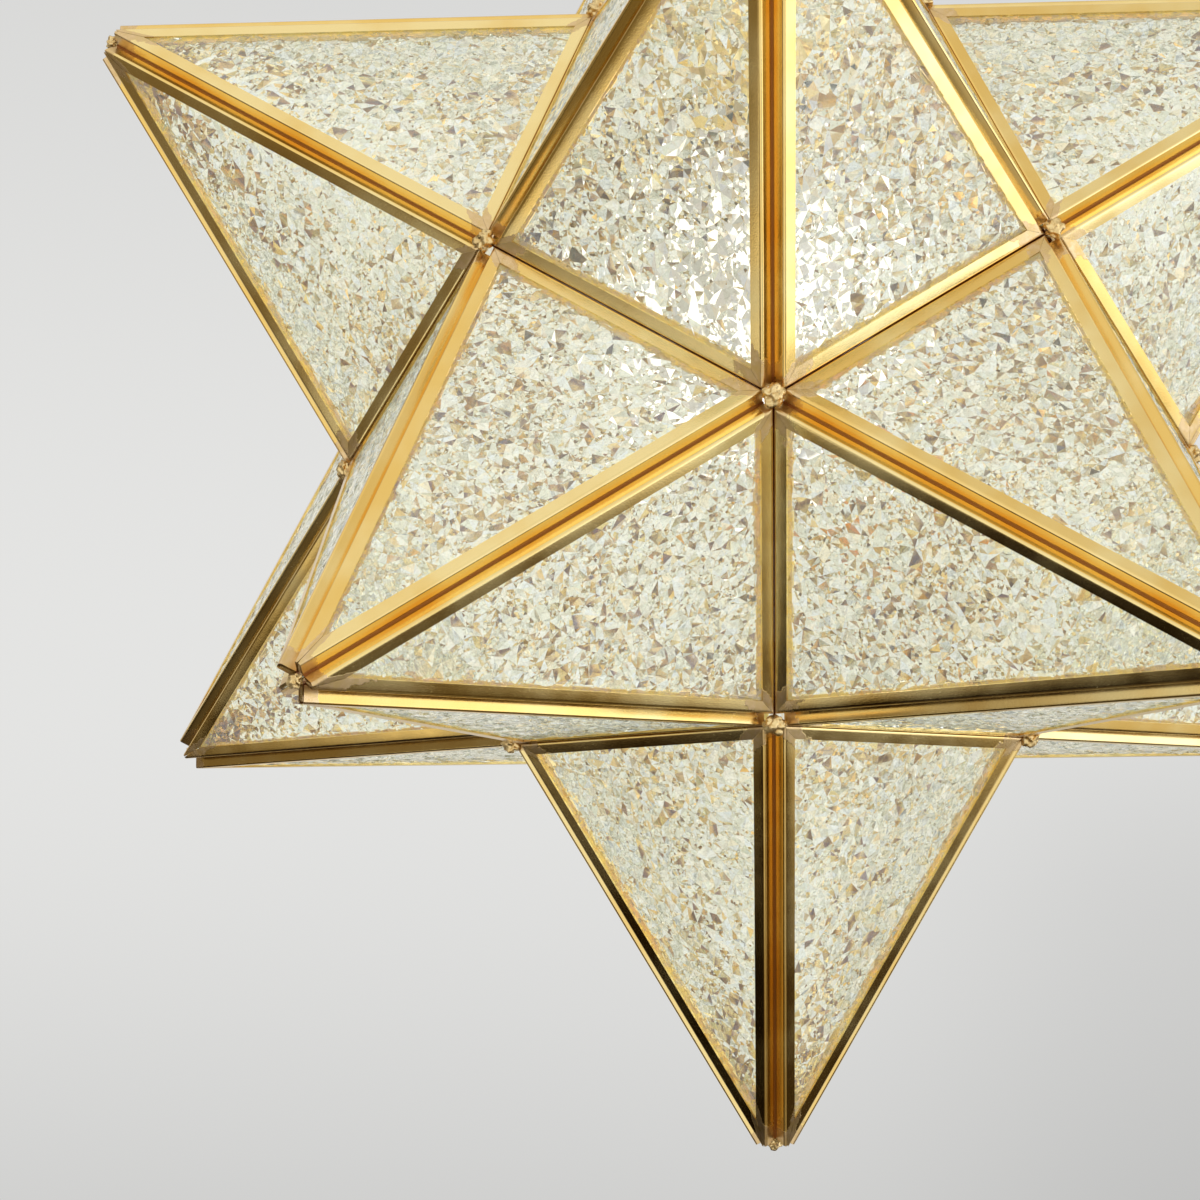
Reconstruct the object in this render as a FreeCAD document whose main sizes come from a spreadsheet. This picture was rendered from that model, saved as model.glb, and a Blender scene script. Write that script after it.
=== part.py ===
import FreeCAD, Part
import math
import os
import Sketcher

# A hanging lantern: a small stellated dodecahedron of twelve five-sided points.
# Each point is five glass triangles, and each triangle is edged with brass came
# (a folded U channel). The top point is cut short for the hanging hardware, and
# one rear upper point is hinged so that the lamp inside can be reached.
#
# Frame: +Z up, origin at the centre of the hanging loop's eye, front towards -Y.

App = FreeCAD
Vec = FreeCAD.Vector

# Driving sizes, in millimetres.
SIZES = (
    ("star_radius", 200.0, "star centre to the ideal sharp tip of a point"),
    ("top_cut", 35.0, "how far below its ideal tip the top point is cut off"),
    ("tip_width", 1.6, "width of a triangle's blunted apex"),
    ("glass_thickness", 3.0, "textured sheet glass"),
    ("channel_play", 0.1, "glass to came, both faces together"),
    ("glass_edge_gap", 0.25, "glass edge to the came's web"),
    ("glass_tip_width", 3.2, "width of the glass at its blunted apex"),
    ("sheet", 0.55, "brass sheet that the came is folded from"),
    ("flange", 3.1, "came's outer edge to its flange's edge"),
    ("bend_radius", 0.6, "outside radius of the came's bend"),
    ("mitre_seam", 0.1, "gap at a mitred corner"),
    ("came_gap", 0.05, "came's edge to the line it shares with its neighbour"),
    ("door_gap", 0.3, "the same on the base of the hinged point"),
    ("tip_bead", 1.8, "radius of the solder bead in a tip"),
    ("corner_swell", 0.1, "corner bead's radius past the ridge inset of the cames round it"),
    ("door_bead_relief", 0.35, "how much smaller a corner bead is beside the hinged point"),
    ("bead_seat", 0.1, "solder bead to the came that it sits on"),
    ("hinge_width", 36.0, "length of the hinge along its axis"),
    ("knuckle_radius", 1.4, "outside radius of a hinge knuckle"),
    ("knuckle_gap", 0.3, "gap between two knuckles"),
    ("pin_radius", 0.75, "hinge pin"),
    ("pin_play", 0.06, "pin to a turning knuckle, on the radius"),
    ("pin_seat", 0.02, "pin to a fixed knuckle, on the radius"),
    ("pin_head", 1.3, "radius of the pin's upset ends"),
    ("pin_head_height", 0.7, "height of the pin's upset ends"),
    ("axis_height", 2.25, "hinge axis above the face of each came"),
    ("leaf_sheet", 0.5, "thickness of the hinge leaves"),
    ("leaf_start", 0.7, "star's edge to the near edge of a leaf"),
    ("solder_film", 0.05, "gap under a soldered piece"),
    ("tab_thickness", 1.0, "lifting tab of the hinged point"),
    ("tab_length", 12.0, "lifting tab along the ridge"),
    ("tab_height", 7.0, "lifting tab above the ridge"),
    ("tab_rise", 4.2, "rise of the lifting tab's rounded end"),
    ("tab_place", 22.0, "star's corner to the lifting tab, along the ridge"),
    ("tab_hole", 1.8, "radius of the hole in the lifting tab"),
    ("cap_sheet", 1.0, "skirt of the top cap"),
    ("cap_plate", 1.2, "flat of the top cap"),
    ("cap_skirt", 12.0, "height of the top cap's skirt below the cut"),
    ("cap_play", 0.1, "top cap to the cames under it"),
    ("clamp_drop", 4.0, "top of the clamp plate below the cut"),
    ("clamp_sheet", 2.0, "thickness of the clamp plate"),
    ("washer_sheet", 1.2, "thickness of the spring washer"),
    ("washer_radius", 8.4, "outside radius of the spring washer"),
    ("washer_slot", 1.0, "slot of the spring washer"),
    ("nut_flats", 14.0, "nipple nuts, across flats"),
    ("nut_height", 4.0, "height of a nipple nut"),
    ("stack_gap", 0.05, "gap between clamped pieces"),
    ("nipple_radius", 5.0, "threaded nipple, outside"),
    ("nipple_bore", 3.8, "threaded nipple, bore radius"),
    ("nipple_chamfer", 0.6, "chamfer at the nipple's ends"),
    ("thread_gap", 0.05, "nipple to what is threaded on it"),
    ("hole_play", 0.3, "nipple to a plain hole"),
    ("collar_radius", 8.0, "collar of the hanging loop"),
    ("collar_height", 10.0, "height of the loop's collar"),
    ("collar_chamfer", 1.0, "chamfer at the collar's top"),
    ("thread_depth", 7.5, "nipple's length inside the collar"),
    ("thread_runout", 0.5, "nipple's end to the floor of the collar's thread"),
    ("eye_radius", 8.0, "radius of the loop's eye"),
    ("ring_section", 5.0, "thickness of the loop's ring"),
    ("ring_width", 9.5, "width of the loop's ring"),
    ("ring_round", 2.0, "rounding of the ring's edges"),
    ("ring_sink", 1.5, "how far the ring sinks into its collar"),
    ("bushing_bore", 2.6, "radius of the cord's way through the bushing"),
    ("bushing_wall", 0.6, "wall of the cord bushing"),
    ("bushing_round", 0.5, "rounding of the bushing's upper end"),
    ("bushing_recess", 0.4, "end of the cord bushing below the eye's floor"),
    ("lamp_seat", 98.0, "star centre up to the lamp's contact"),
    ("lamp_radius", 30.0, "widest radius of the lamp"),
    ("lamp_length", 105.0, "lamp, contact to the end of the glass"),
    ("lamp_neck", 13.6, "radius of the lamp's glass at its neck"),
    ("lamp_neck_end", 30.0, "lamp's contact to where the neck starts to widen"),
    ("lamp_glass", 0.9, "thickness of the lamp's glass"),
    ("lamp_collar", 4.0, "how far the lamp's glass reaches into its cap"),
    ("lamp_cement", 0.1, "gap between the lamp's glass, cap and insulator"),
    ("lamp_fold", 1.0, "height over which the lamp's inner glass narrows into the cap"),
    ("lamp_cap_radius", 13.0, "crest radius of the lamp's screw cap"),
    ("lamp_cap_wall", 0.35, "sheet of the lamp's screw cap"),
    ("lamp_cap_length", 26.0, "lamp's contact to the end of its cap"),
    ("cap_chamfer", 1.0, "bevel at the closed end of the lamp's cap"),
    ("thread_start", 1.6, "closed end of the cap to its first thread"),
    ("thread_pitch", 3.6, "pitch of the lamp's screw cap"),
    ("thread_relief", 0.8, "depth of the lamp cap's thread"),
    ("contact_radius", 4.6, "lamp's contact button"),
    ("contact_height", 1.6, "height of the lamp's contact button"),
    ("contact_dome", 0.96, "height of the button's domed face"),
    ("contact_shank", 2.0, "button's shank inside the insulator"),
    ("insulator_height", 3.2, "height of the lamp's insulator"),
    ("insulator_rim", 0.6, "insulator's lower edge past the contact button"),
    ("insulator_play", 0.2, "insulator's upper edge inside the cap's thread root"),
    ("lamp_gap", 0.3, "lamp to the socket around it, on the radius"),
    ("screw_shell_wall", 0.4, "sheet of the socket's screw shell"),
    ("screw_shell_rim", 1.6, "width of the screw shell's shoulder"),
    ("screw_shell_length", 20.0, "length of the socket's screw shell"),
    ("base_height", 7.0, "height of the socket's insulating base"),
    ("base_play", 0.1, "insulating base to the sleeve around it, on the radius"),
    ("base_gap", 3.4, "lamp's contact to the face of the base"),
    ("liner_wall", 0.6, "insulating sleeve of the socket"),
    ("liner_recess", 1.5, "sleeve's lower end above the outer shell's"),
    ("liner_gap", 1.0, "screw shell to the sleeve"),
    ("shell_wall", 0.6, "sheet of the socket's outer shell"),
    ("shell_gap", 0.3, "sleeve to the outer shell"),
    ("shell_length", 32.0, "length of the socket's outer shell"),
    ("shell_overlap", 3.8, "how far the outer shell reaches into the socket cap"),
    ("shell_lip", 0.9, "height of the rolled lip at the outer shell's mouth"),
    ("lip_flare", 0.1, "how far that lip spreads"),
    ("cap_foot_rise", 1.0, "socket cap's rim above the face of the base"),
    ("socket_cap_fit", 0.15, "outer shell to the socket cap around it, on the radius"),
    ("socket_dome", 17.6, "height of the socket cap's domed part"),
    ("dome_radius", 22.0, "radius of that dome's profile"),
    ("socket_cap_height", 22.0, "height of the socket cap below its neck"),
    ("socket_cap_wall", 0.8, "sheet of the socket cap"),
    ("socket_neck_height", 8.0, "height of the socket cap's neck"),
    ("socket_neck_radius", 7.5, "radius of the socket cap's neck"),
    ("neck_chamfer", 0.5, "chamfer at the neck's top"),
    ("terminal_recess", 2.0, "depth of the hollow in the base's top"),
    ("terminal_hole", 5.6, "depth of a terminal screw's hole below the base's top"),
    ("terminal_room", 0.4, "terminal screw's head to the rim of that hollow"),
    ("terminal_end", 0.2, "terminal screw's end to the bottom of its hole"),
    ("terminal_head", 1.6, "height of a terminal screw's head"),
    ("screw_slot", 0.6, "width and depth of a screw's slot"),
    ("terminal_radius", 3.0, "head of a terminal screw"),
    ("terminal_place", 9.0, "terminal screws from the socket's axis"),
    ("set_screw_proud", 0.6, "how far the locking screw stands out of the neck"),
    ("set_screw_radius", 1.5, "locking screw in the socket cap's neck"),
    ("contact_sheet", 0.4, "sheet of the centre contact"),
    ("contact_width", 5.0, "width of the centre contact"),
    ("contact_foot", 9.0, "lamp's axis to the fixed end of the centre contact"),
    ("contact_knee", 5.0, "lamp's axis to the bend beside that end"),
    ("contact_pad", 1.5, "half length of the pad that the lamp presses"),
    ("contact_toe", 4.0, "lamp's axis to the free end of the centre contact"),
    ("contact_lift", 0.8, "rise of that free end"),
    ("filament_radius", 0.8, "light-giving rod in the lamp"),
    ("filament_length", 34.0, "length of such a rod"),
    ("filament_drop", 17.0, "end of the lamp's neck to the top of a rod"),
    ("filament_gap", 0.2, "rod to the stem"),
    ("stem_radius", 1.7, "glass stem in the lamp"),
    ("stem_overrun", 1.0, "stem's end below the rods"),
    ("stem_foot", 3.5, "how far the stem reaches into the cap"),
    ("stem_flare", 10.0, "height of the stem's flared foot"),
    ("stem_rim", 1.0, "height of the rim of that foot"),
    ("stem_play", 0.1, "stem's foot to the lamp's glass, on the radius"),
)

# Proportions of the small stellated dodecahedron.
GOLDEN = (1 + math.sqrt(5)) / 2
SIN18 = math.sin(math.radians(18))
COS18 = math.cos(math.radians(18))
SIN36 = math.sin(math.radians(36))
COS36 = math.cos(math.radians(36))
PANE_SLOPE = math.atan(2)
SIN_SLOPE = math.sin(PANE_SLOPE)
COS_SLOPE = math.cos(PANE_SLOPE)
# Half of the dihedral angle inside a ridge, which is also half of the one outside a valley.
HALF_DIHEDRAL = math.atan(GOLDEN)
SIN_HALF = math.sin(HALF_DIHEDRAL)
COS_HALF = math.cos(HALF_DIHEDRAL)
POINT_SIDES = 5
# How far a cut's outline runs past the piece that it cuts.
OVERRUN = 1.0
CAP_THREADS = 4
ROD_LEAN = 8.0


class Size:
    """A length that carries its value and the cell formula that it comes from."""

    def __init__(self, value, text):
        self.value = value
        self.text = text

    def __add__(self, other):
        other = size(other)
        return Size(self.value + other.value, "(%s + %s)" % (self.text, other.text))

    def __radd__(self, other):
        return size(other) + self

    def __sub__(self, other):
        other = size(other)
        return Size(self.value - other.value, "(%s - %s)" % (self.text, other.text))

    def __rsub__(self, other):
        return size(other) - self

    def __mul__(self, other):
        other = size(other)
        return Size(self.value * other.value, "(%s * %s)" % (self.text, other.text))

    def __rmul__(self, other):
        return self * other

    def __truediv__(self, other):
        other = size(other)
        return Size(self.value / other.value, "(%s / %s)" % (self.text, other.text))

    def __neg__(self):
        return self * -1


def size(number):
    """The number itself as a Size, unless it is one already."""
    if isinstance(number, Size):
        return number
    return Size(float(number), "(%.10f)" % number)


def open_sheet(document):
    """Write the driving sizes into a sheet and return them by name."""
    sheet = document.addObject("Spreadsheet::Sheet", "sizes")
    named = {}
    for row, (name, value, note) in enumerate(SIZES, start=1):
        sheet.set("A%d" % row, name)
        sheet.set("B%d" % row, "%g" % value)
        sheet.set("C%d" % row, note)
        sheet.setAlias("B%d" % row, name)
        named[name] = Size(value, "sizes.%s" % name)
    document.recompute()
    return named


doc = App.newDocument("star_pendant")
S = open_sheet(doc)
parts_to_save = []

# Sizes worked out from the driving ones. Heights are above the star's centre.
EDGE = S["star_radius"] * (1 / (GOLDEN**2 * math.sin(math.radians(72))))
PENTAGON_INRADIUS = EDGE * (0.5 * COS36 / SIN36)
PENTAGON_RADIUS = EDGE * (0.5 / SIN36)
BASE_HEIGHT = EDGE * (GOLDEN**2 / (2 * math.sqrt(3 - GOLDEN)))
CREASE_HEIGHT = EDGE * (GOLDEN**2 / 2)
RIDGE_LENGTH = EDGE * GOLDEN
CHANNEL = S["glass_thickness"] + S["channel_play"]
CAME_DEPTH = CHANNEL + S["sheet"] * 2
RIDGE_INSET = CAME_DEPTH * (1 / GOLDEN) + S["came_gap"]
CUT_HEIGHT = S["star_radius"] - S["top_cut"]
CUT_UP_PANE = (CUT_HEIGHT - BASE_HEIGHT) * (1 / SIN_SLOPE)
CAP_TOP = CUT_HEIGHT + S["cap_play"] + S["cap_plate"]
COLLAR_BOTTOM = CAP_TOP + S["stack_gap"]
COLLAR_TOP = COLLAR_BOTTOM + S["collar_height"]
RING_RADIUS = S["eye_radius"] + S["ring_section"]
EYE_HEIGHT = COLLAR_TOP + RING_RADIUS - S["ring_sink"]
STAR_CENTRE = -EYE_HEIGHT
CLAMP_TOP = CUT_HEIGHT - S["clamp_drop"]
WASHER_TOP = CLAMP_TOP - S["clamp_sheet"] - S["stack_gap"]
UPPER_NUT_TOP = WASHER_TOP - S["washer_sheet"] - S["stack_gap"]
NIPPLE_TOP = COLLAR_BOTTOM + S["thread_depth"]
BUSHING_RADIUS = S["bushing_bore"] + S["bushing_wall"]
SCREW_SHELL_RADIUS = S["lamp_cap_radius"] + S["lamp_gap"]
SCREW_SHELL_OUTSIDE = SCREW_SHELL_RADIUS + S["screw_shell_wall"]
CAP_ROOT = S["lamp_cap_radius"] - S["thread_relief"]
LINER_RADIUS = SCREW_SHELL_OUTSIDE + S["liner_gap"]
SHELL_RADIUS = LINER_RADIUS + S["liner_wall"] + S["shell_gap"]
SHELL_OUTSIDE = SHELL_RADIUS + S["shell_wall"]
BASE_FACE = S["lamp_seat"] + S["base_gap"]
BASE_TOP = BASE_FACE + S["base_height"]
TERMINAL_FLOOR = BASE_TOP - S["terminal_recess"]
TERMINAL_SHANK = S["terminal_radius"] * 0.5
CAP_FOOT = BASE_FACE + S["cap_foot_rise"]
SOCKET_SHOULDER = CAP_FOOT + S["socket_cap_height"]
NECK_TOP = SOCKET_SHOULDER + S["socket_neck_height"]
NIPPLE_FOOT = SOCKET_SHOULDER - S["socket_cap_wall"]
SET_SCREW_HEIGHT = NECK_TOP - S["socket_neck_height"] * 0.5
LOWER_NUT_TOP = NECK_TOP + S["stack_gap"] + S["nut_height"]
ROD_END = S["lamp_neck_end"] + S["filament_drop"] + S["filament_length"]
AXIS_RISE = S["axis_height"] * (1 / SIN_HALF)
AXIS_FOOT = AXIS_RISE * COS_HALF


def save_later(item):
    parts_to_save.append(item)
    return item


def new_body(label, rotation=None):
    """A body whose own origin is the star's centre."""
    body = doc.addObject("PartDesign::Body", label)
    body.AllowCompound = True
    body.Placement = App.Placement(Vec(0, 0, STAR_CENTRE.value), rotation or App.Rotation())
    body.setExpression("Placement.Base.z", STAR_CENTRE.text)
    return save_later(body)


def place_at(item, steps, rotation):
    """Put an item at the star's centre plus steps of (direction, Size)."""
    base = Vec(0, 0, STAR_CENTRE.value)
    for direction, length in steps:
        base = base + direction * length.value
    item.Placement = App.Placement(base, rotation)
    for axis in ("x", "y", "z"):
        terms = [STAR_CENTRE.text] if axis == "z" else []
        for direction, length in steps:
            terms.append("%s * (%.12f)" % (length.text, getattr(direction, axis)))
        item.setExpression("Placement.Base.%s" % axis, " + ".join(terms))


def origin_feature(body, role):
    return next(item for item in body.Origin.OriginFeatures if item.Role == role)


def new_sketch(body, name, role, shift=(0, 0, 0), turn=None):
    """A sketch on one of the body's own planes, shifted and turned in that plane's axes."""
    sketch = body.newObject("Sketcher::SketchObject", "%s_%s" % (body.Label, name))
    sketch.AttachmentSupport = (origin_feature(body, role), "")
    sketch.MapMode = "FlatFace"
    lengths = [size(part) for part in shift]
    base = Vec(*[part.value for part in lengths])
    sketch.AttachmentOffset = App.Placement(base, turn or App.Rotation())
    for axis, part in zip(("x", "y", "z"), lengths):
        sketch.setExpression("AttachmentOffset.Base.%s" % axis, part.text)
    return sketch


def pin_coordinate(sketch, kind, geometry, end, length):
    """Hold one coordinate of a point at a Size."""
    if abs(length.value) < 1e-9:
        axis = -2 if kind == "DistanceX" else -1
        sketch.addConstraint(Sketcher.Constraint("PointOnObject", geometry, end, axis))
        return
    index = sketch.addConstraint(
        Sketcher.Constraint(kind, -1, 1, geometry, end, length.value)
    )
    sketch.setExpression("Constraints[%d]" % index, length.text)


def arc_through(start, end, radius):
    """The short arc from start to end; a positive radius has its centre on the left."""
    chord = end - start
    half = chord.Length / 2
    left = Vec(-chord.y, chord.x, 0) / chord.Length
    reach = math.sqrt(max(radius * radius - half * half, 0))
    centre = (start + end) / 2 + left * math.copysign(reach, radius)
    first, last = (start, end) if radius > 0 else (end, start)
    begin = math.atan2(first.y - centre.y, first.x - centre.x)
    finish = math.atan2(last.y - centre.y, last.x - centre.x)
    circle = Part.Circle(centre, Vec(0, 0, 1), abs(radius))
    return Part.ArcOfCircle(circle, begin, finish)


def draw_outline(sketch, corners):
    """A closed outline. A corner is (x, y), or (x, y, radius) where an arc starts there."""
    points = [(size(corner[0]), size(corner[1])) for corner in corners]
    bends = [size(corner[2]) if len(corner) > 2 else None for corner in corners]
    ends = []
    for index, (x, y) in enumerate(points):
        next_x, next_y = points[(index + 1) % len(points)]
        start = Vec(x.value, y.value, 0)
        end = Vec(next_x.value, next_y.value, 0)
        bend = bends[index]
        if bend is None:
            geometry = sketch.addGeometry(Part.LineSegment(start, end), False)
            ends.append((geometry, 1, 2))
            continue
        geometry = sketch.addGeometry(arc_through(start, end, bend.value), False)
        ends.append((geometry, 1, 2) if bend.value > 0 else (geometry, 2, 1))
        positive = bend if bend.value > 0 else -bend
        index = sketch.addConstraint(Sketcher.Constraint("Radius", geometry, positive.value))
        sketch.setExpression("Constraints[%d]" % index, positive.text)
    for index, (geometry, start, end) in enumerate(ends):
        following, following_start, following_end = ends[(index + 1) % len(ends)]
        sketch.addConstraint(
            Sketcher.Constraint("Coincident", geometry, end, following, following_start)
        )
    for (geometry, start, end), (x, y) in zip(ends, points):
        pin_coordinate(sketch, "DistanceX", geometry, start, x)
        pin_coordinate(sketch, "DistanceY", geometry, start, y)


def draw_circle(sketch, x, y, radius):
    x, y, radius = size(x), size(y), size(radius)
    circle = Part.Circle(Vec(x.value, y.value, 0), Vec(0, 0, 1), radius.value)
    geometry = sketch.addGeometry(circle, False)
    pin_coordinate(sketch, "DistanceX", geometry, 3, x)
    pin_coordinate(sketch, "DistanceY", geometry, 3, y)
    index = sketch.addConstraint(Sketcher.Constraint("Radius", geometry, radius.value))
    sketch.setExpression("Constraints[%d]" % index, radius.text)


def add_pad(body, sketch, length, side="One side", backwards=False):
    length = size(length)
    pad = body.newObject("PartDesign::Pad", sketch.Label + "_pad")
    pad.Profile = sketch
    pad.SideType = side
    pad.Reversed = backwards
    pad.Length = length.value
    pad.setExpression("Length", length.text)
    doc.recompute()
    return pad


def add_pocket(body, sketch, length, side="One side", backwards=False):
    """Cut away, and stop if nothing was cut."""
    length = size(length)
    before = body.Shape.Volume
    pocket = body.newObject("PartDesign::Pocket", sketch.Label + "_cut")
    pocket.Profile = sketch
    pocket.SideType = side
    pocket.Reversed = backwards
    pocket.Length = length.value
    pocket.setExpression("Length", length.text)
    doc.recompute()
    if body.Shape.Volume > before - 1e-6:
        raise RuntimeError("%s cuts nothing" % pocket.Label)
    return pocket


def add_revolution(body, sketch):
    spin = body.newObject("PartDesign::Revolution", sketch.Label + "_turned")
    spin.Profile = sketch
    spin.ReferenceAxis = (sketch, ["V_Axis"])
    spin.Angle = 360
    doc.recompute()
    return spin


def turned_body(label, corners):
    """A body of revolution about the lantern's axis; corners are (radius, height)."""
    body = new_body(label)
    profile = new_sketch(body, "profile", "XZ_Plane")
    draw_outline(profile, corners)
    add_revolution(body, profile)
    return body


def tube_corners(inner, outer, low, high):
    return [(inner, low), (outer, low), (outer, high), (inner, high)]


def round_edges(body, feature, edges, radius):
    fillet = body.newObject("PartDesign::Fillet", body.Label + "_rounding")
    fillet.Base = (feature, edges)
    fillet.Radius = radius.value
    fillet.setExpression("Radius", radius.text)
    doc.recompute()
    return fillet


def repeat_round(body):
    """Repeat the whole body five times round its own Z axis."""
    ring = body.newObject("PartDesign::PolarPattern", body.Label + "_ring")
    ring.TransformMode = "Whole shape"
    ring.Axis = (origin_feature(body, "Z_Axis"), [""])
    ring.Angle = 360
    ring.Occurrences = POINT_SIDES
    body.Tip = ring
    doc.recompute()
    return ring


# Directions of the twelve points: the tip's direction, and the direction from the
# point's axis to the middle of one of its base edges.


def compass(azimuth):
    """Horizontal direction; azimuth 0 is the front and 90 is +X."""
    angle = math.radians(azimuth)
    return Vec(math.sin(angle), -math.cos(angle), 0)


def point_axes():
    axes = {
        "top": (Vec(0, 0, 1), compass(0)),
        "bottom": (Vec(0, 0, -1), compass(180)),
    }
    for index in range(POINT_SIDES):
        outward = compass(36 + 72 * index)
        tip = outward * SIN_SLOPE + Vec(0, 0, -COS_SLOPE)
        axes["lower_%d" % (index + 1)] = (tip, outward * -COS_SLOPE + Vec(0, 0, -SIN_SLOPE))
        outward = compass(72 * index)
        tip = outward * SIN_SLOPE + Vec(0, 0, COS_SLOPE)
        axes["upper_%d" % (index + 1)] = (tip, outward * -COS_SLOPE + Vec(0, 0, SIN_SLOPE))
    return axes


POINTS = point_axes()
DOOR = "upper_3"


def point_rotation(name):
    tip, side = POINTS[name]
    return App.Rotation(side, tip.cross(side), tip, "ZXY")


# A pane's own axes: x along its base edge, y up the slope to the apex.


def side_x(inset, y):
    """Half width of a pane at height y, this far inside its ideal edge."""
    return EDGE * 0.5 - (y * SIN18 + inset) * (1 / COS18)


def apex_y(inset, half_width):
    """Height at which a pane, this far inside its ideal edge, is that wide."""
    return ((EDGE * 0.5 - half_width) * COS18 - inset) * (1 / SIN18)


def blunt_outline(inset, low, high):
    bottom = side_x(inset, low)
    top = side_x(inset, high)
    return [(-bottom, low), (bottom, low), (top, high), (-top, high)]


def sharp_outline(inset, low):
    bottom = side_x(inset, low)
    return [(-bottom, low), (bottom, low), (size(0), apex_y(inset, 0))]


def pane_sketch(body, name, depth):
    """A sketch in the plane of a pane, at a depth under its outer face."""
    turn = App.Rotation(Vec(0, 1, 0), math.degrees(PANE_SLOPE))
    turn = turn.multiply(App.Rotation(Vec(0, 0, 1), 90))
    depth = size(depth)
    shift = (PENTAGON_INRADIUS - depth * SIN_SLOPE, 0, BASE_HEIGHT - depth * COS_SLOPE)
    return new_sketch(body, name, "XY_Plane", shift, turn)


def mitre_cut(corner, angle, reach):
    """The outline of the saw cut that starts at a corner and runs at an angle."""
    x, y = corner
    along = (math.cos(math.radians(angle)), math.sin(math.radians(angle)))
    half = S["mitre_seam"] * 0.5
    outline = []
    for step, side in ((-OVERRUN, 1), (-OVERRUN, -1), (None, -1), (None, 1)):
        travel = size(step) if step is not None else reach + OVERRUN
        outline.append(
            (
                x + travel * along[0] - half * (side * along[1]),
                y + travel * along[1] + half * (side * along[0]),
            )
        )
    return outline


def bent_edges(shape):
    """The sloping edges in the outer face of the pane on the body's +X side."""
    normal = Vec(SIN_SLOPE, 0, COS_SLOPE)
    level = PENTAGON_INRADIUS.value * SIN_SLOPE + BASE_HEIGHT.value * COS_SLOPE
    names = []
    for index, edge in enumerate(shape.Edges, start=1):
        ends = [vertex.Point for vertex in edge.Vertexes]
        is_outer = max(abs(end.dot(normal) - level) for end in ends) < 1e-6
        if is_outer and abs(ends[0].z - ends[-1].z) > S["flange"].value:
            names.append("Edge%d" % index)
    return names


def came_point(label, point, base_gap, is_cut):
    """The fifteen came strips of one point: three mitred strips round each pane."""
    body = new_body(label, point_rotation(point))
    tip = CUT_UP_PANE if is_cut else apex_y(RIDGE_INSET, S["tip_width"] * 0.5)
    outline = new_sketch_outline(body, "outline", 0, blunt_outline(RIDGE_INSET, base_gap, tip))
    slab = add_pad(body, outline, CAME_DEPTH, backwards=True)
    round_edges(body, slab, bent_edges(slab.Shape), S["bend_radius"])

    window_low = base_gap + S["flange"]
    window_inset = RIDGE_INSET + S["flange"]
    if is_cut:
        window = blunt_outline(window_inset, window_low, tip - S["flange"])
    else:
        window = sharp_outline(window_inset, window_low)
    add_pocket(body, new_sketch_outline(body, "window", 0, window), CAME_DEPTH)

    slot = blunt_outline(RIDGE_INSET + S["sheet"], base_gap + S["sheet"], tip - S["sheet"])
    add_pocket(body, new_sketch_outline(body, "slot", S["sheet"], slot), CHANNEL)

    mitres = pane_sketch(body, "mitres", 0)
    bottom = side_x(RIDGE_INSET, base_gap)
    base_reach = S["flange"] * (1 / SIN36)
    draw_outline(mitres, mitre_cut((bottom, base_gap), 144, base_reach))
    draw_outline(mitres, mitre_cut((-bottom, base_gap), 36, base_reach))
    if is_cut:
        top = side_x(RIDGE_INSET, tip)
        top_reach = S["flange"] * (1 / math.sin(math.radians(54)))
        draw_outline(mitres, mitre_cut((top, tip), 234, top_reach))
        draw_outline(mitres, mitre_cut((-top, tip), 306, top_reach))
    else:
        draw_outline(mitres, mitre_cut((size(0), tip), 270, tip - apex_y(window_inset, 0)))
    add_pocket(body, mitres, CAME_DEPTH)
    repeat_round(body)
    return body


def new_sketch_outline(body, name, depth, corners):
    sketch = pane_sketch(body, name, depth)
    draw_outline(sketch, corners)
    return sketch


def glass_point(label, point, base_gap, is_cut):
    """The five panes of one point, each held in the channel of its cames."""
    body = new_body(label, point_rotation(point))
    margin = S["sheet"] + S["glass_edge_gap"]
    inset = RIDGE_INSET + margin
    if is_cut:
        high = CUT_UP_PANE - margin
    else:
        high = apex_y(inset, S["glass_tip_width"] * 0.5)
    corners = blunt_outline(inset, base_gap + margin, high)
    outline = new_sketch_outline(
        body, "outline", S["sheet"] + S["channel_play"] * 0.5, corners
    )
    add_pad(body, outline, S["glass_thickness"], backwards=True)
    repeat_round(body)
    return body


# Solder beads.


def bead(name, direction, height, radius, steps=()):
    ball = doc.addObject("Part::Sphere", name)
    ball.Radius = radius.value
    ball.setExpression("Radius", radius.text)
    place_at(ball, [(direction, height)] + list(steps), App.Rotation())
    return ball


def bead_group(label, beads):
    group = doc.addObject("Part::Compound", label)
    group.Links = beads
    return save_later(group)


def tip_bead(point):
    """A bead that rests in the cup between the five blunt apexes of a point."""
    apex = apex_y(RIDGE_INSET, S["tip_width"] * 0.5)
    rim = BASE_HEIGHT + apex * SIN_SLOPE
    rim_radius = PENTAGON_INRADIUS - apex * COS_SLOPE
    cup = rim - rim_radius * (COS_SLOPE / SIN_SLOPE)
    height = cup + (S["tip_bead"] + S["bead_seat"]) * (1 / SIN_SLOPE)
    return bead("tip_bead_%s" % point, POINTS[point][0], height, S["tip_bead"])


def star_corners():
    """Unit directions of the twenty corners where three points meet, and those points."""
    corners = []
    names = sorted(POINTS)
    neighbour_cosine = 1 / math.sqrt(5)
    for first in range(len(names)):
        for second in range(first + 1, len(names)):
            for third in range(second + 1, len(names)):
                trio = [names[first], names[second], names[third]]
                tips = [POINTS[name][0] for name in trio]
                cosines = [tips[0].dot(tips[1]), tips[1].dot(tips[2]), tips[2].dot(tips[0])]
                if min(cosines) > neighbour_cosine - 1e-6:
                    middle = tips[0] + tips[1] + tips[2]
                    corners.append((middle.normalize(), trio))
    return corners


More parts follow.
